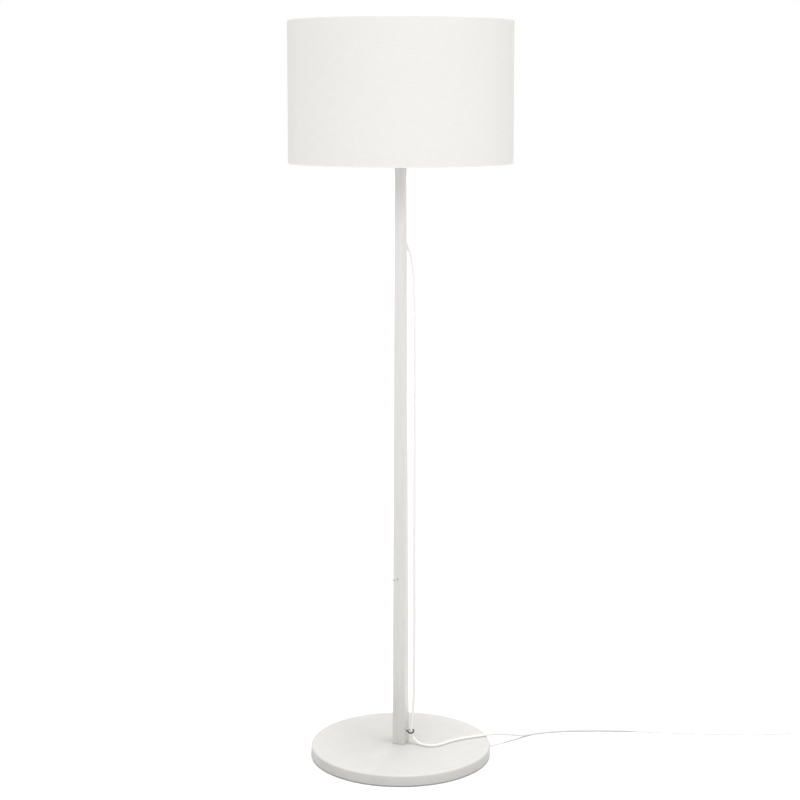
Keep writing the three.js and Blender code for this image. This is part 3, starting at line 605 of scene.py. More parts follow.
# the cords, laid along the same points as the solids
lampCord = {"radius": 2.8, "exit": (0.00658, 0.00786, 1.032), "length": 1.89, "points": [
    (0.00658, 0.00786, 1.032), (0.0104, 0.0125, 1.0216), (0.0146, 0.0164, 1.0105), (0.0194, 0.0188, 0.997),
    (0.0234, 0.019, 0.975), (0.0258, 0.0176, 0.948), (0.0272, 0.0155, 0.905), (0.028, 0.0125, 0.84),
    (0.0282, 0.009, 0.75), (0.0278, 0.0065, 0.64), (0.0274, 0.0045, 0.52), (0.0272, 0.003, 0.4),
    (0.0273, 0.0016, 0.29), (0.027, 0.0, 0.2), (0.0264, -0.002, 0.13), (0.0245, -0.0046, 0.09),
    (0.0223, -0.0066, 0.07), (0.02105, -0.0073, 0.06), (0.0207, -0.0075, 0.0526),
    (0.02182, -0.00818, 0.04432), (0.02509, -0.01014, 0.03685), (0.03017, -0.01319, 0.03092),
    (0.03657, -0.01704, 0.02711), (0.04287, -0.02082, 0.02582), (0.04587, -0.02262, 0.0258),
    (0.05304, -0.02567, 0.0258), (0.06127, -0.02661, 0.0258), (0.06941, -0.0251, 0.0258),
    (0.07595, -0.02184, 0.0258), (0.08323, -0.01655, 0.0258), (0.1, -0.0012, 0.0258),
    (0.128, 0.0152, 0.0258), (0.157, 0.0275, 0.0258), (0.179, 0.0365, 0.0259), (0.2, 0.049, 0.0226),
    (0.222, 0.066, 0.015), (0.245, 0.085, 0.0066), (0.262, 0.098, 0.0034), (0.284, 0.109, 0.0029),
    (0.325, 0.119, 0.0029), (0.39, 0.124, 0.0029), (0.47, 0.121, 0.0029), (0.56, 0.112, 0.0029),
    (0.65, 0.1045, 0.0029), (0.73, 0.103, 0.0029), (0.768, 0.1057, 0.00295), (0.783, 0.1067, 0.0032),
    (0.798, 0.1075, 0.0043), (0.813, 0.108, 0.0064), (0.828, 0.108, 0.0082), (0.842, 0.108, 0.0082),
    (0.857, 0.108, 0.0082)]}
tailCord = {"radius": 2.8, "exit": (0.915, 0.108, 0.0082), "length": 1.236, "middle": (0.9999, 0.1466),
            "inner": 24.4, "pitch": 5.68, "turnsIn": 2.5, "climb": 0.25, "turnsOut": 2.75, "low": 3.9,
            "high": 9.6, "perTurn": 24,
            "lead": [(0.915, 0.108, 0.0082), (0.93, 0.108, 0.0082), (0.944, 0.108, 0.0082),
                     (0.958, 0.108, 0.006), (0.968, 0.108, 0.0043), (0.978, 0.108, 0.0039),
                     (0.989, 0.108, 0.0039)],
            "toPlug": [(0.989, 0.18662, 0.0096), (0.978, 0.18662, 0.0096), (0.966, 0.18662, 0.0086),
                       (0.955, 0.18662, 0.0073), (0.9453, 0.18662, 0.00685), (0.9405, 0.18662, 0.00685)]}


def woundPoints(data):
    # in along the floor, up at the inner turn, and out again on top
    steps = round((data["turnsIn"] + data["climb"] + data["turnsOut"]) * data["perTurn"])
    points = []
    for i in range(steps + 1):
        turn = i / data["perTurn"]
        if turn <= data["turnsIn"]:
            radius, height = data["inner"] + data["pitch"] * (data["turnsIn"] - turn), data["low"]
        elif turn <= data["turnsIn"] + data["climb"]:
            share = (turn - data["turnsIn"]) / data["climb"]
            lift = share * share * (3 - 2 * share)
            radius, height = data["inner"], data["low"] + (data["high"] - data["low"]) * lift
        else:
            radius = data["inner"] + data["pitch"] * (turn - data["turnsIn"] - data["climb"])
            height = data["high"]
        angle = turn * fullTurn - math.pi / 2
        points.append((data["middle"][0] + radius * mm * math.cos(angle),
                       data["middle"][1] + radius * mm * math.sin(angle), height * mm))
    return points


cordToSwitch = fit(wireAlong("cordToSwitch", lampCord["points"], lampCord["radius"] * mm), cordJacket,
                   "cord_jacket", "stand", "cord_lamp")
cordToPlug = fit(wireAlong("cordToPlug", tailCord["lead"] + woundPoints(tailCord) + tailCord["toPlug"],
                           tailCord["radius"] * mm, steps=4), cordJacket, "cord_jacket", "stand",
                 "cord_tail", "cord_coil", "cord_plug_lead")
print("cords laid")


# base board with its recess below, felt feet, screws and the stem's bolt

baseBoard = {"radius": 178.3, "underside": 2.3, "top": 23, "topRound": 3.2, "footRound": 1.2, "recess": 125.3,
             "recessTop": 11.3, "bore": 3.3}
footPad = {"radius": 10, "thickness": 2, "ring": 160}
plateScrew = {"ring": 95, "head": 4, "neck": 2, "seat": 3.0, "top": 19, "slot": 4.4, "slotWidth": 1.1}
stemBolt = {"acrossFlats": 10, "headLow": 5.1, "headHigh": 9.1, "shank": 3, "top": 41}


def makeBase():
    d = baseBoard
    outer = d["radius"]
    profile = [(d["bore"], d["recessTop"]), (d["recess"] - 0.6, d["recessTop"]),
               (d["recess"], d["recessTop"] - 0.6), (d["recess"], d["underside"] + 0.5),
               (d["recess"] + 0.5, d["underside"])]
    profile += arc((outer - d["footRound"], d["underside"] + d["footRound"]), d["footRound"], d["footRound"],
                   -90, 0, 3)
    profile += arc((outer - d["topRound"], d["top"] - d["topRound"]), d["topRound"], d["topRound"], 0, 90, 7)
    profile += [(120, d["top"]), (60, d["top"]), (22, d["top"]), (d["bore"], d["top"])]
    board = spun("baseBoard", profile, 192)
    fit(smooth(board), boardPaint, "painted_board", "stand", "base_disc")

    pad = spun("footPad1", [(0, 0), (footPad["radius"] - 0.4, 0), (footPad["radius"], 0.3),
                            (footPad["radius"], 1.4), (footPad["radius"] - 0.5, 1.85),
                            (footPad["radius"] - 1.4, footPad["thickness"]),
                            (0, footPad["thickness"])], 40, closed=False)
    pads = [pad] + [copied(pad, "footPad%d" % (i + 1)) for i in range(1, 4)]
    for i, each in enumerate(pads):
        angle = math.pi / 4 + i * math.pi / 2
        placed(each, shiftBy(footPad["ring"] * math.cos(angle), footPad["ring"] * math.sin(angle), 0))
        fit(smooth(each, 30), padFelt, "felt", "stand", "foot_pad_%d" % (i + 1))

    s = plateScrew
    screw = spun("plateScrew1", [(0, s["seat"]), (s["head"] - 0.3, s["seat"]), (s["head"], s["seat"] + 0.25),
                                 (s["head"], s["seat"] + 0.6), (s["neck"], s["seat"] + 2.6),
                                 (s["neck"], s["top"] - 3), (0, s["top"])], 40, closed=False)
    carve(screw, crossSlot((0, 0), s["slot"], s["slotWidth"], s["seat"] - 1, s["seat"] + 1.6))
    screws = [screw] + [copied(screw, "plateScrew%d" % (i + 1)) for i in range(1, 3)]
    for i, each in enumerate(screws):
        angle = math.pi / 2 + i * fullTurn / 3
        there = shiftBy(s["ring"] * math.cos(angle), s["ring"] * math.sin(angle), 0)
        placed(each, there @ turnBy(17 + 40 * i, "Z"))
        fit(smooth(each, 30), zincSteel, "zinc_steel", "stand", "ballast_screw_%d" % (i + 1))

    b = stemBolt
    head = rod("stemBolt", b["acrossFlats"] / math.sqrt(3), b["headLow"], b["headHigh"], vertices=6)
    skim = spun("boltChamfer", [(0, b["headLow"] - 1), (4.4, b["headLow"] - 0.2),
                                (b["acrossFlats"] / 2, b["headLow"] + 0.1), (6.1, b["headLow"] + 1.1),
                                (6.1, b["headHigh"] + 1), (0, b["headHigh"] + 1)], 48, closed=False)
    carve(head, skim, "INTERSECT")
    shank = spun("boltShank", [(0, b["headHigh"] - 1), (b["shank"], b["headHigh"] - 1),
                               (b["shank"], b["top"] - 1), (b["shank"] - 0.8, b["top"]),
                               (0, b["top"])], 32, closed=False)
    carve(head, shank, "UNION")
    fit(smooth(head, 25), zincSteel, "zinc_steel", "stand", "stem_bolt")
    washer = spun("stemWasher", [(3.3, 9.4), (8.7, 9.4), (9, 9.6), (9, 10.75), (8.6, 11), (3.5, 11),
                                 (3.3, 10.8)], 48)
    fit(smooth(washer), zincSteel, "zinc_steel", "stand", "stem_washer")


makeBase()
print("base made")


# stem, the bush where the cord comes out, and the eye that guides the cord at the foot

stem = {"foot": 23.3, "top": 1193, "footWidth": 26, "topWidth": 18.2, "round": 1.8, "endRound": 0.45,
        "turn": -20, "dowelBore": 2.3, "dowelDeep": 9, "dowelAside": -8.9,
        "channel": 4.5, "channelFoot": 1046, "nippleBore": 5.3, "nippleFoot": 1177.7, "insertBore": 5.3,
        "insertTop": 41.9}
cordExit = {"height": 1032, "aside": 3.5, "lean": 30, "hole": 4.5, "bushOut": 4.2, "bushIn": 3.3, "lip": 1.0}
cordEye = {"height": 48.5, "standOff": 9, "ring": 5.5, "wire": 1.25, "depth": 14, "tilt": 25}
stemTurn = turnBy(stem["turn"], "Z")


def stemHalf(height):
    share = (height - stem["foot"]) / (stem["top"] - stem["foot"])
    return (stem["footWidth"] + (stem["topWidth"] - stem["footWidth"]) * share) / 2


def alongExit(piece):
    # the piece's own upward axis turns down the slanted hole, its origin goes to the hole's mouth
    half = stemHalf(cordExit["height"])
    bearing = math.atan2(half, cordExit["aside"])
    lean = Matrix.Rotation(math.pi - math.radians(cordExit["lean"]), 4, "Y")
    mouth = shiftBy(cordExit["aside"], half, cordExit["height"])
    return placed(piece, mouth @ Matrix.Rotation(bearing, 4, "Z") @ lean)


def makeStem():
    half = stem["footWidth"] / 2
    post = bar("stemPost", (-half, -half, stem["foot"]), (half, half, stem["top"]))
    selectWhere(post, lambda middle, normal: normal.z > 0.9)
    taper = stem["topWidth"] / stem["footWidth"]
    bpy.ops.transform.resize(value=(taper, taper, 1), center_override=(0, 0, stem["top"] * mm))
    objectMode()
    bevelWhere(post, lambda middle, direction: abs(direction.z) > 0.9, stem["round"], 5, "EDGE")
    bevelWhere(post, lambda middle, normal: abs(normal.z) > 0.9, stem["endRound"], 2)
    carve(post, rod("channelTool", stem["channel"], stem["channelFoot"], stem["top"] + 1, vertices=40))
    carve(post, rod("nippleTool", stem["nippleBore"], stem["nippleFoot"], stem["top"] + 1, vertices=40))
    carve(post, rod("insertTool", stem["insertBore"], stem["foot"] - 1, stem["insertTop"], vertices=40))
    carve(post, rod("dowelTool", stem["dowelBore"], stem["foot"] - 1, stem["foot"] + stem["dowelDeep"],
                    at=(stem["dowelAside"], 0), vertices=24))
    carve(post, alongExit(rod("exitTool", cordExit["hole"], -22, 12, vertices=48)))
    pilot = rod("eyeTool", cordEye["wire"] + 0.05, -cordEye["depth"] - 0.3, 1, vertices=24)
    face = shiftBy(stemHalf(cordEye["height"]), 0, cordEye["height"])
    carve(post, placed(pilot, face @ turnBy(90, "Y")))
    placed(post, stemTurn)
    fit(smooth(post, 30), woodPaint, "painted_wood", "stand", "stem")

    bush = spun("exitBush", [(cordExit["bushIn"], -10), (cordExit["bushOut"], -10), (cordExit["bushOut"], 20),
                             (cordExit["bushIn"], 20)], 56)
    alongExit(bush)
    outside = stemHalf(cordExit["height"]) + cordExit["lip"]
    carve(bush, bar("bushTrim", (-30, -2, cordExit["height"] - 30), (30, outside, cordExit["height"] + 30)),
          "INTERSECT")
    roundEdges(bush, 0.25, 3, 40)
    placed(bush, stemTurn)
    fit(smooth(bush), whitePlastic, "white_plastic", "stand", "exit_bushing")

    e = cordEye
    loop = [(-e["standOff"] - e["depth"], 0, 0), (-14, 0, 0), (-10.5, 0, 0), (-8.2, -0.1, 0), (-6.6, -1.0, 0)]
    loop += [(e["ring"] * math.cos(math.radians(a)), e["ring"] * math.sin(math.radians(a)), 0)
             for a in range(205, 521, 15)]
    loop[-1] = (e["ring"] * math.cos(math.radians(518)) - 0.2, e["ring"] * math.sin(math.radians(518)), 0)
    eye = toMesh(wireAlong("cordEye", [[c * mm for c in point] for point in loop], e["wire"] * mm, 5, 6))
    middle = shiftBy(stemHalf(e["height"]) + e["standOff"], 0, e["height"])
    placed(eye, stemTurn @ middle @ turnBy(e["tilt"], "X"))
    fit(smooth(eye, 45), darkSteel, "dark_steel", "stand", "cord_eye")


makeStem()
print("stem made")


# lampholder on the stem's top, with the ring that clamps the shade

holder = {"capFoot": 1199, "split": 1222, "flangeTop": 1225.2, "top": 1252, "radius": 19.8, "flange": 23.5}
clampRing = {"foot": 1229.1, "top": 1236, "radius": 28, "bore": 20.1, "ribs": 60, "ribHeight": 0.65}
topNut = {"acrossFlats": 14, "low": 1195.1, "high": 1198.1, "bore": 5.3}


def makeHolder():
    washer = spun("stemTopWasher", [(5.3, 1193.3), (8.3, 1193.3), (8.6, 1193.5), (8.6, 1194.55),
                                    (8.3, 1194.8), (5.3, 1194.8)], 48)
    fit(smooth(washer), zincSteel, "zinc_steel", "stand", "stem_top_washer")
    n = topNut
    nut = rod("nippleNut", n["acrossFlats"] / math.sqrt(3), n["low"], n["high"], vertices=6)
    skim = spun("nutChamfer", [(0, n["low"] - 0.5), (6.3, n["low"] - 0.2), (8.3, n["low"] + 0.9),
                               (8.3, n["high"] - 0.9), (6.3, n["high"] + 0.2),
                               (0, n["high"] + 0.5)], 48, closed=False)
    carve(nut, skim, "INTERSECT")
    carve(nut, rod("nutBore", n["bore"], n["low"] - 1, n["high"] + 1, vertices=40))
    fit(smooth(nut, 25), zincSteel, "zinc_steel", "stand", "nipple_nut")

    foot, split = holder["capFoot"], holder["split"]
    cap = [(5.3, foot), (8.6, foot)] + arc((8.6, foot + 0.8), 0.8, 0.8, -90, 0, 3)[1:] + [(9.6, foot + 4.2)]
    cap += arc((12.8, foot + 4.2), 3.0, 3.0, 180, 118, 4) + arc((17.6, foot + 14.6), 4.4, 5.0, -62, 0, 6)
    cap += [(22, split - 1.6), (21.7, split - 1.3), (21.7, split - 0.9), (22, split - 0.6), (22, split - 0.3)]
    cap += [(20, split - 0.3), (20, foot + 14.5), (17.2, foot + 11.5), (9.5, foot + 8), (5.3, foot + 8)]
    fit(smooth(spun("holderCap", cap, 128)), whitePlastic, "white_plastic", "stand", "holder_cap")

    skirt = [(17, split), (23.2, split), (23.5, split + 0.3), (23.5, holder["flangeTop"] - 0.5),
             (23.0, holder["flangeTop"]), (19.5, holder["flangeTop"])]
    pitch, height = 2.5, holder["flangeTop"] + 1.2
    while height + pitch < holder["top"] - 2:
        skirt += [(19.1, height), (19.3, height + 0.45), (19.78, height + 0.95), (19.78, height + 1.35),
                  (19.3, height + 1.85)]
        height += pitch
    skirt += [(19.2, holder["top"] - 1.2), (18.6, holder["top"] - 0.2), (18.1, holder["top"]),
              (17.5, holder["top"]), (17, holder["top"] - 0.5)]
    fit(smooth(spun("holderSkirt", skirt, 112), 30), whitePlastic, "white_plastic", "stand", "holder_skirt")

    c = clampRing
    ring = spun("shadeClampRing", [(c["bore"], c["foot"]), (c["radius"] - 1.2, c["foot"]),
                                   (c["radius"] - 0.7, c["foot"] + 0.3),
                                   (c["radius"] - 0.7, c["foot"] + 1.8), (c["radius"] - 1.3, c["foot"] + 2.2),
                                   (24, c["foot"] + 3), (23.4, c["foot"] + 3.5), (22.6, c["top"] - 0.4),
                                   (22.2, c["top"]), (c["bore"] + 0.5, c["top"]),
                                   (c["bore"], c["top"] - 0.5)], c["ribs"] * 2)
    step = fullTurn / (c["ribs"] * 2)
    rimInner = (c["radius"] - 0.9) * mm

    def onRib(middle, normal):
        column = int((math.atan2(middle.y, middle.x) % fullTurn) / step)
        return abs(normal.z) < 0.3 and middle.xy.length > rimInner and column % 2 == 0
    raiseWhere(ring, onRib, c["ribHeight"])
    fit(smooth(outward(ring), 28), whitePlastic, "white_plastic", "stand", "shade_retaining_ring")


makeHolder()
print("lampholder made")


# bulb: plastic housing with cooling grooves, and the frosted cover

bulb = {"foot": 1254.3, "collarTop": 1286, "coverFoot": 1286.3, "radius": 30, "widest": 1304, "top": 1338,
        "grooves": 24, "grooveDepth": 0.7, "grooveFrom": 15.5}


def makeBulb():
    foot, top = bulb["foot"], bulb["collarTop"]
    profile = [(12, foot), (13.2, foot), (13.6, foot + 0.4), (14.2, foot + 2.2)]
    profile += [(14.2 + 14.2 * t ** 1.15, foot + 2.2 + (top - foot - 3.4) * t ** 0.92)
                for t in (0.1 * i for i in range(1, 10))]
    profile += [(28.5, top - 1.2), (28.6, top - 0.5), (28.4, top), (27.2, top), (25.8, top - 7.4),
                (16.8, foot + 9), (12, foot + 1.2)]
    housing = spun("bulbHousing", profile, bulb["grooves"] * 6)
    step = fullTurn / (bulb["grooves"] * 6)

    def onGroove(middle, normal):
        column = int((math.atan2(middle.y, middle.x) % fullTurn) / step)
        outside = normal.xy.dot(middle.xy) > 0
        return (outside and column % 6 == 0 and (foot + 7) * mm < middle.z < (top - 4) * mm
                and middle.xy.length > bulb["grooveFrom"] * mm)
    raiseWhere(housing, onGroove, -bulb["grooveDepth"])
    fit(smooth(outward(housing), 32), whitePlastic, "white_plastic", "stand", "bulb_housing")

    low, wide = bulb["coverFoot"], bulb["widest"]
    cover = [(27.6, low), (28.3, low), (28.6, low + 0.35)]
    cover += [(28.6 + 1.4 * math.sin(math.pi / 2 * i / 6),
               low + 0.35 + (wide - low - 0.35) * i / 6) for i in range(1, 6)]
    cover += arc((0, wide), bulb["radius"], bulb["top"] - wide, 0, 90, 16)
    cover[-1] = (0, bulb["top"])
    inside = arc((0, wide), bulb["radius"] - 1, bulb["top"] - wide - 1, 90, 0, 12)
    inside[0] = (0, bulb["top"] - 1)
    made = spun("bulbCover", cover + inside + [(27.6, low)], 96, closed=False)
    fit(smooth(made, 40), bulbFrost, "frosted_bulb", "stand", "bulb_diffuser")


makeBulb()
print("bulb made")


# drum shade: cloth rolled over the hoops, film behind it, and the wire carrier

drum = {"radius": 216, "low": 1175, "high": 1447, "rollMiddle": 212.85, "rollAcross": 3.15, "rollUp": 3.0,
        "flank": 209.7, "tuck": 213.3, "hem": 17, "turnIn": 12, "cloth": 0.4, "lap": 0.35, "lapColumns": 2,
        "columns": 240,  # and how far in from the wall each kind of face is looked for
        "wallDepth": 0.5, "lapDepth": 0.2, "backDepth": 1.1, "rollDepth": 5.5}
film = {"outer": 215.2, "inner": 214.0, "low": 1177.2, "high": 1444.8, "rings": (1390, 1300), "lap": 0.4,
        "lapEnds": 16.8}
hoopWire = {"middle": 211.9, "radius": 1.75, "low": 1177.75, "high": 1444.25}
carrier = {"bore": 21, "radius": 27, "low": 1225.5, "high": 1228.5, "arm": 1.6, "rise": 1227, "arms": 3,
           "tip": 28.2,
           "route": [(207.9, 1177.6), (206.9, 1189.6), (198.9, 1219), (187.9, 1226.2), (173.9, 1227),
                     (140, 1227), (100, 1227), (60, 1227), (26.6, 1227)]}


def mapCloth(piece):
    # the cloth's own map: metres round the drum, and metres along the cloth from hem to hem
    mesh = piece.data
    layer = mesh.uv_layers.new(name="cloth")
    middleHeight = (drum["low"] + drum["high"]) / 2 * mm
    rollLow, rollHigh = (drum["low"] + drum["rollUp"]) * mm, (drum["high"] - drum["rollUp"]) * mm
    for face in mesh.polygons:
        faceAngle = math.atan2(face.center.y, face.center.x)
        inside = face.center.xy.length < (drum["radius"] - drum["backDepth"]) * mm
        for loop in face.loop_indices:
            point = mesh.vertices[mesh.loops[loop].vertex_index].co
            angle = math.atan2(point.y, point.x)
            angle += fullTurn * round((faceAngle - angle) / fullTurn)
            along = min(max(point.z, rollLow), rollHigh) - middleHeight
            overRoll = (drum["radius"] * mm - point.xy.length) * (1 if along > 0 else -1)
            if inside:
                along += (1 if along > 0 else -1) * drum["turnIn"] * mm
            layer.data[loop].uv = (angle * drum["radius"] * mm, along + overRoll)


def makeShade():
    d = drum
    low = [(d["tuck"], d["low"] + d["hem"]), (d["tuck"], d["low"] + 8.2), (d["tuck"] - 0.3, d["low"] + 7),
           (d["tuck"] - 1.2, d["low"] + 6.1), (d["flank"] + 0.9, d["low"] + 5.4),
           (d["flank"] + 0.2, d["low"] + 4.6)]
    low += arc((d["rollMiddle"], d["low"] + d["rollUp"]), d["rollAcross"], d["rollUp"], 180, 360, 14)
    wall = [(d["radius"], d["low"] + d["rollUp"] + (d["high"] - d["low"] - 2 * d["rollUp"]) * i / 8)
            for i in range(1, 8)]
    high = [(radius, d["low"] + d["high"] - height) for radius, height in reversed(low)]
    cloth = spun("drumCloth", low + wall + high, d["columns"], closed=False)
    selectWhere(cloth, lambda middle, normal: middle.xy.length > (d["radius"] - d["wallDepth"]) * mm)
    objectMode()
    facing = [face for face in cloth.data.polygons if face.select][0]
    if facing.normal.xy.dot(facing.center.xy) < 0:
        editAll(cloth)
        bpy.ops.mesh.flip_normals()
        objectMode()
    applyModifier(cloth, "SOLIDIFY", thickness=d["cloth"] * mm, offset=-1, use_rim=True)
    halfLap = d["lapColumns"] / 2 * fullTurn / d["columns"]

    def onLap(middle, normal):
        fromBack = abs(math.atan2(middle.y, middle.x) - math.pi / 2)
        outFacing = middle.xy.length > (d["radius"] - d["lapDepth"]) * mm and normal.xy.dot(middle.xy) > 0
        overRoll = abs(normal.z) > 0.2 and middle.xy.length > (d["radius"] - d["rollDepth"]) * mm and (
            middle.z > (d["high"] - d["rollUp"]) * mm and normal.z > 0
            or middle.z < (d["low"] + d["rollUp"]) * mm and normal.z < 0)
        return fromBack < halfLap and (outFacing or overRoll)
    raiseWhere(cloth, onLap, d["lap"])
    mapCloth(cloth)
    fit(smooth(cloth, 50), drumCloth, "shade_fabric", "shade", "shade_fabric", "hem_tape_lower",
        "hem_tape_upper")

    f = film
    sheetFilm = spun("drumFilm", [(f["outer"], f["low"] + 0.3), (f["outer"], f["high"] - 0.3),
                                  (f["outer"] - 0.3, f["high"]), (f["inner"] + 0.2, f["high"]),
                                  (f["inner"], f["high"] - 0.3), (f["inner"], f["rings"][0]),
                                  (f["inner"], f["rings"][1]), (f["inner"], f["low"] + 0.3),
                                  (f["inner"] + 0.2, f["low"]), (f["outer"] - 0.3, f["low"])], d["columns"])

    def onFilmLap(middle, normal):
        low, high = (f["low"] + f["lapEnds"]) * mm, (f["high"] - f["lapEnds"]) * mm
        fromBack = math.atan2(middle.y, middle.x) - math.pi / 2
        return normal.xy.dot(middle.xy) < 0 and low < middle.z < high and 0 <= fromBack < halfLap * 4
    raiseWhere(sheetFilm, onFilmLap, f["lap"])
    fit(smooth(outward(sheetFilm), 30), linerFilm, "shade_liner", "shade", "shade_liner")

    for name, height, nodeName in (("hoopLower", hoopWire["low"], "hoop_lower"),
                                   ("hoopUpper", hoopWire["high"], "hoop_upper")):
        circle = arc((hoopWire["middle"], height), hoopWire["radius"], hoopWire["radius"], 0, 330, 11)
        fit(smooth(spun(name, circle, 180), 50), whiteSteel, "white_steel", "shade", nodeName)

    c = carrier
    ring = spun("carrierRing", [(c["bore"] + 0.4, c["low"]), (c["radius"] - 0.7, c["low"]),
                                (c["radius"], c["low"] + 0.7), (c["radius"], c["high"] - 0.7),
                                (c["radius"] - 0.7, c["high"]), (c["bore"] + 0.4, c["high"]),
                                (c["bore"], c["high"] - 0.4), (c["bore"], c["low"] + 0.4)], 96)
    fit(smooth(ring, 50), whiteSteel, "white_steel", "shade", "fitter_ring")
    route = [(radius * mm, 0, height * mm) for radius, height in c["route"]]
    arm = toMesh(wireAlong("carrierArm1", route, c["arm"] * mm, 5, 8))
    foot = spun("armWeld", [(0, -2.6), (1.4, -2.3), (1.95, -1.2), (2.05, 0), (1.95, 1.2), (1.4, 2.3),
                            (0, 2.6)], 20, closed=False)
    footRadius, footHeight = c["route"][0]
    placed(foot, shiftBy(footRadius, 0, footHeight + 1))
    tip = spun("armTip", [(0, -2), (1.5, -1.8), (1.9, -0.8), (1.9, 0.8), (1.5, 1.8), (0, 2)], 20,
               closed=False)
    placed(tip, shiftBy(c["tip"], 0, c["rise"]) @ turnBy(90, "Y"))
    carve(arm, foot, "UNION")
    carve(arm, tip, "UNION")
    arms = [arm] + [copied(arm, "carrierArm%d" % (i + 1)) for i in range(1, c["arms"])]
    for i, each in enumerate(arms):
        placed(each, Matrix.Rotation(math.pi / 2 + i * fullTurn / c["arms"], 4, "Z"))
        fit(smooth(each, 45), whiteSteel, "white_steel", "shade", "shade_arm_%d" % (i + 1))
    return cloth


shadeCloth = makeShade()
print("shade made")


# foot switch

footSwitch = {"x": 886, "y": 108, "length": 66, "width": 36, "corner": 17, "baseTop": 4, "coverLow": 4.3,
              "coverTop": 22, "coverRound": 3.4, "wall": 2.4, "entry": 8.2, "bore": 13.5, "screwX": 24,
              "screwY": 9}
pushButton = {"radius": 13.1, "flange": 15, "flangeLow": 17.5, "flangeHigh": 19.3, "top": 26}
strainRelief = {"length": 24, "wide": 5.2, "narrow": 3.7, "collar": 3.9, "bore": 2.86, "ribs": 6}
returnSpring = {"radius": 5, "wire": 0.5, "low": 11.4, "rise": 5.2, "turns": 3}


def makeRelief(name, side):
    r = strainRelief
    profile = [(r["bore"], -3), (r["collar"], -3), (r["collar"], 0.2), (r["wide"] - 0.3, 0.2),
               (r["wide"], 0.6)]
    span = (r["length"] - 3.5) / r["ribs"]
    for i in range(r["ribs"]):
        start = 1.6 + i * span
        reach = r["wide"] + (r["narrow"] + 0.2 - r["wide"]) * (start / r["length"])
        profile += [(reach, start), (reach - 0.2, start + span * 0.42), (reach - 0.8, start + span * 0.52),
                    (reach - 0.85, start + span * 0.84), (reach - 0.25, start + span * 0.95)]
    profile += [(r["narrow"], r["length"] - 0.8), (r["narrow"] - 0.35, r["length"]), (r["bore"], r["length"])]
    sleeve = spun(name, profile, 48)
    s = footSwitch
    return placed(sleeve,
                  shiftBy(s["x"] + side * s["length"] / 2, s["y"], s["entry"]) @ turnBy(90 * side, "Y"))


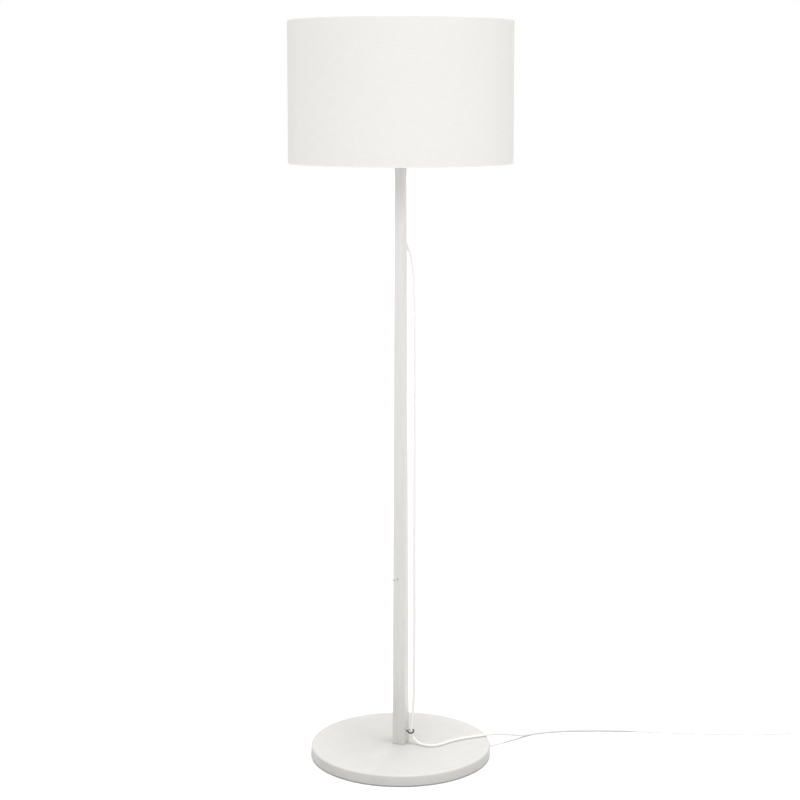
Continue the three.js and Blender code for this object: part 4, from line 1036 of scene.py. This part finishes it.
def makeSwitch():
    s = footSwitch
    centre = shiftBy(s["x"], s["y"], 0)
    plate = slab("switchBase", roundedOutline(s["length"], s["width"], s["corner"]), 0, s["baseTop"])
    roundEdges(plate, 0.6, 2, 60)
    for side in (-1, 1):
        carve(plate, rod("plateHole", 3.1, -1, 2.2, at=(side * s["screwX"], side * s["screwY"])))
        carve(plate, rod("plateHole", 1.8, -1, s["baseTop"] + 1, at=(side * s["screwX"], side * s["screwY"])))
    placed(plate, centre)
    fit(smooth(plate, 30), whitePlastic, "white_plastic", "stand", "switch_base")

    cover = slab("switchCover", roundedOutline(s["length"], s["width"], s["corner"], 10), s["coverLow"],
                 s["coverTop"])
    bevelWhere(cover, lambda middle, normal: normal.z > 0.9, s["coverRound"], 6)
    ringRise = spun("coverRing", [(13.2, 20), (17.2, 20), (17.0, s["coverTop"] + 0.3),
                                  (16.4, s["coverTop"] + 0.8), (15.2, s["coverTop"] + 0.8),
                                  (14.4, s["coverTop"] + 0.35), (13.2, s["coverTop"] + 0.2)], 72)
    carve(cover, ringRise, "UNION")
    inner = 2 * s["wall"]
    hollow = slab("coverHollow", roundedOutline(s["length"] - inner, s["width"] - inner,
                                                s["corner"] - s["wall"]), 0, s["coverTop"] - s["wall"])
    carve(cover, hollow)
    carve(cover, rod("buttonHole", s["bore"], 10, s["coverTop"] + 5, vertices=72))
    for side in (-1, 1):
        slot = rod("entryHole", strainRelief["collar"] + 0.3, -6, 6, vertices=32)
        placed(slot, shiftBy(side * s["length"] / 2, 0, s["entry"]) @ turnBy(90, "Y"))
        carve(cover, slot)
        reach = strainRelief["collar"] + 0.3
        carve(cover, bar("entrySlot", (side * s["length"] / 2 - 6, -reach, 0),
                         (side * s["length"] / 2 + 6, reach, s["entry"])))
    placed(cover, centre)
    fit(smooth(cover, 30), whitePlastic, "white_plastic", "stand", "switch_cover")

    b = pushButton
    cap = [(0, b["flangeLow"]), (b["flange"] - 0.2, b["flangeLow"]), (b["flange"], b["flangeLow"] + 0.2),
           (b["flange"], b["flangeHigh"] - 0.2), (b["flange"] - 0.2, b["flangeHigh"]),
           (b["radius"], b["flangeHigh"]), (b["radius"], b["top"] - 2.4)]
    cap += arc((b["radius"] - 1.8, b["top"] - 2.4), 1.8, 2.1, 0, 80, 6)[1:]
    for start in (10.4, 8.6, 6.8):
        cap += [(start, b["top"] - 0.35), (start - 0.3, b["top"] - 0.7), (start - 0.6, b["top"] - 0.7),
                (start - 0.9, b["top"] - 0.4)]
    cap += [(4, b["top"] - 0.6), (0, b["top"] - 0.75)]
    button = placed(spun("switchButton", cap, 72, closed=False), centre)
    fit(smooth(button, 30), whitePlastic, "white_plastic", "foot_button", "switch_button")

    reliefs = []
    for i, side in enumerate((-1, 1)):
        sleeve = makeRelief("switchRelief%d" % (i + 1), side)
        reliefs.append(fit(smooth(sleeve, 30), whitePlastic, "white_plastic", "stand",
                           "switch_relief_%d" % (i + 1)))

    screw = spun("switchScrew1", [(0, 0.6), (2.5, 0.6), (2.8, 0.85), (2.8, 1.9), (1.5, 1.9),
                                  (1.5, s["baseTop"] + 3.4), (0, s["baseTop"] + 4)], 32, closed=False)
    carve(screw, crossSlot((0, 0), 3.2, 0.8, 0, 1.4))
    screws = [screw, copied(screw, "switchScrew2")]
    for i, side in enumerate((-1, 1)):
        at = shiftBy(side * s["screwX"], side * s["screwY"], 0)
        placed(screws[i], centre @ at @ turnBy(25 + 50 * i, "Z"))
        fit(smooth(screws[i], 30), zincSteel, "zinc_steel", "stand", "switch_screw_%d" % (i + 1))

    c = returnSpring
    wound = []
    steps = 16
    for i in range(c["turns"] * steps + 1):
        angle = i / steps * fullTurn
        share = i / (c["turns"] * steps)
        wound.append((c["radius"] * mm * math.cos(angle), c["radius"] * mm * math.sin(angle),
                      (c["low"] + c["rise"] * share) * mm))
    spring = toMesh(wireAlong("returnSpring", wound, c["wire"] * mm, 3, 2))
    placed(spring, centre)
    fit(smooth(spring, 50), zincSteel, "zinc_steel", "stand", "switch_spring")
    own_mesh(spring)
    return [plate, cover, button, spring] + reliefs + screws


switchPieces = makeSwitch()
print("foot switch made")


# plug and the band round the coil

plug = {"tip": 945, "y": 186.62, "height": 13.7, "relief": 24, "body": 34, "neck": 13, "width": 34,
        "round": 2.2, "pin": 2, "pinLength": 19, "pinApart": 9.3, "sleeve": 9}
coilBand = {"low": (1020.5, 144.6, 0.1), "high": (1043.9, 148.6, 13.4), "wall": 0.7}


def makePlug():
    p = plug
    back, end = p["relief"], p["relief"] + p["body"]
    outline = [(back, -p["neck"] / 2), (back + 8, -p["neck"] / 2 - 1), (back + 15, -p["width"] / 2 + 4.5),
               (back + 22, -p["width"] / 2), (end, -p["width"] / 2), (end, p["width"] / 2),
               (back + 22, p["width"] / 2), (back + 15, p["width"] / 2 - 4.5),
               (back + 8, p["neck"] / 2 + 1), (back, p["neck"] / 2)]
    body = slab("plugBody", outline, -p["height"] / 2, p["height"] / 2)
    roundEdges(body, p["round"], 5, 20)
    for side in (-1, 1):
        for i in range(4):
            x = back + 21 + i * 2.4
            grip = bar("gripTool", (x, side * p["width"] / 2 - 0.5, -4),
                       (x + 1.1, side * p["width"] / 2 + 0.5, 4))
            carve(body, grip)
    profile = [(0, 0), (3.5, 0), (3.7, 0.3)]
    for i in range(7):
        start = 2 + i * 3.1
        reach = 3.75 + 1.65 * start / 24
        profile += [(reach, start), (reach + 0.1, start + 1.3), (reach - 0.6, start + 1.6),
                    (reach - 0.55, start + 2.5)]
    profile += [(5.4, back - 0.4), (5.5, back + 1.5), (0, back + 1.5)]
    taper = placed(spun("plugTaper", profile, 44, closed=False), turnBy(90, "Y"))
    carve(body, taper, "UNION")
    for side in (-1, 1):
        bore = rod("pinBore", p["pin"] + 0.05, end - 10, end + 1, vertices=32)
        carve(body, placed(bore, shiftBy(0, side * p["pinApart"], 0) @ turnBy(90, "Y")))
    there = shiftBy(p["tip"], p["y"], p["height"] / 2) @ turnBy(180, "Z")
    placed(body, there)
    pieces = [fit(smooth(body, 30), whitePlastic, "white_plastic", "stand", "plug_body")]
    for i, side in enumerate((-1, 1)):
        start, tip = end - 9.7, end + p["pinLength"]
        across = there @ shiftBy(0, side * p["pinApart"], 0) @ turnBy(90, "Y")
        pin = spun("plugPin%d" % (i + 1), [(0, start), (p["pin"] - 0.25, start),
                                           (p["pin"] - 0.25, end + p["sleeve"]),
                                           (p["pin"], end + p["sleeve"] + 0.2), (p["pin"], tip - 1.6)]
                   + arc((p["pin"] - 1.4, tip - 1.6), 1.4, 1.6, 0, 90, 5)[1:] + [(0, tip)], 36, closed=False)
        placed(pin, across)
        pieces.append(fit(smooth(pin, 30), brightNickel, "nickel", "stand", "plug_pin_%d" % (i + 1)))
        sleeve = spun("pinSleeve%d" % (i + 1), [(p["pin"] - 0.25, end - 0.4), (p["pin"], end - 0.4),
                                                (p["pin"], end + p["sleeve"] - 0.3),
                                                (p["pin"] - 0.1, end + p["sleeve"]),
                                                (p["pin"] - 0.25, end + p["sleeve"])], 36)
        placed(sleeve, across)
        pieces.append(fit(smooth(sleeve, 30), whitePlastic, "white_plastic", "stand"))
    return pieces


def makeBand():
    # a soft band round one side of the coil, its end lapped over on top
    low, high, wall = coilBand["low"], coilBand["high"], coilBand["wall"]
    middle = [(a + b) / 2 for a, b in zip(low, high)]
    outerX, outerZ = high[0] - low[0], high[2] - low[2]
    band = slab("coilBand", roundedOutline(outerX, outerZ, 3.2, 8), -2, 2)
    hole = slab("bandHole", roundedOutline(outerX - 2 * wall, outerZ - 2 * wall, 2.5, 8), -3, 3)
    carve(band, hole)
    lap = slab("bandLap", [(-6, outerZ / 2 - wall), (5, outerZ / 2 - wall), (5.4, outerZ / 2 + 0.1),
                           (4.8, outerZ / 2 + wall), (-5.4, outerZ / 2 + wall),
                           (-6, outerZ / 2 + 0.1)], -1.99, 1.99)
    carve(band, lap, "UNION")
    roundEdges(band, 0.18, 2, 40)
    placed(band, shiftBy(*middle) @ turnBy(90, "X"))
    return fit(smooth(band, 35), whitePlastic, "white_plastic", "stand", "coil_tie")


plugPieces = makePlug()
bandPiece = makeBand()
print("plug and band made")

# floor and light

floorLook = {"size": 60, "colour": (0.9, 0.9, 0.9, 1), "glow": 0.1}
greyCard = {"radius": 0.5, "height": 0.0005, "colour": (0.62, 0.62, 0.62, 1)}
surround = {"seen": (1, 1, 1, 1), "light": 0.45}
suns = {"keyLight": {"strength": 0.36, "turn": (52, 0, 62), "angle": 35, "colour": (1, 1, 1)},
        "frontLight": {"strength": 0.64, "turn": (63, 0, -12), "angle": 30, "colour": (1, 1, 1)},
        "topLight": {"strength": 2.05, "turn": (3, 0, 30), "angle": 26, "colour": (1, 1, 1)},
        "backLight": {"strength": 0.25, "turn": (62, 0, 185), "angle": 80, "colour": (1, 1, 1)}}


def makeSurround():
    clearSelection()
    bpy.ops.mesh.primitive_plane_add(size=floorLook["size"], location=(0, 0, 0))
    floor = bpy.context.object
    floor.name = "studioFloor"
    finish = newFinish("studioFloor", {"Specular IOR Level": 0.0, "Emission Strength": floorLook["glow"],
                                       "Emission Color": (1, 1, 1, 1), "Roughness": 0.9,
                                       "Base Color": floorLook["colour"]})[0]
    floor.data.materials.append(finish)
    # a grey card round the foot takes the floor's bounce off the base's side; the camera doesn't see it
    clearSelection()
    bpy.ops.mesh.primitive_circle_add(vertices=64, radius=greyCard["radius"], fill_type="NGON",
                                      location=(0, 0, greyCard["height"]))
    card = bpy.context.object
    card.name = "greyCard"
    cardFinish = newFinish("greyCard", {"Base Color": greyCard["colour"], "Roughness": 1,
                                        "Specular IOR Level": 0.0})[0]
    card.data.materials.append(cardFinish)
    card.visible_camera = card.visible_shadow = card.visible_glossy = card.visible_transmission = False
    world = bpy.data.worlds.new("paleSurround")
    world.use_nodes = True
    bpy.context.scene.world = world
    tree = world.node_tree
    seen = tree.nodes["Background"]
    seen.inputs["Color"].default_value = surround["seen"]
    lit = node(tree, "Background", {"Color": (1, 1, 1, 1), "Strength": surround["light"]})
    paths = node(tree, "LightPath")
    mirrored = node(tree, "Math", {0: paths.outputs["Is Camera Ray"], 1: paths.outputs["Is Glossy Ray"]},
                    operation="MAXIMUM")
    chosen = node(tree, "MixShader", {0: mirrored.outputs["Value"]})
    tree.links.new(lit.outputs[0], chosen.inputs[1])
    tree.links.new(seen.outputs[0], chosen.inputs[2])
    tree.links.new(chosen.outputs[0], tree.nodes["World Output"].inputs["Surface"])
    for name, data in suns.items():
        clearSelection()
        bpy.ops.object.light_add(type="SUN", rotation=[math.radians(a) for a in data["turn"]])
        sun = bpy.context.object
        sun.name = name
        sun.data.energy = data["strength"]
        sun.data.angle = math.radians(data["angle"])
        sun.data.color = data["colour"]
    bpy.context.scene.view_settings.view_transform = "Standard"


makeSurround()
print("floor and light set")
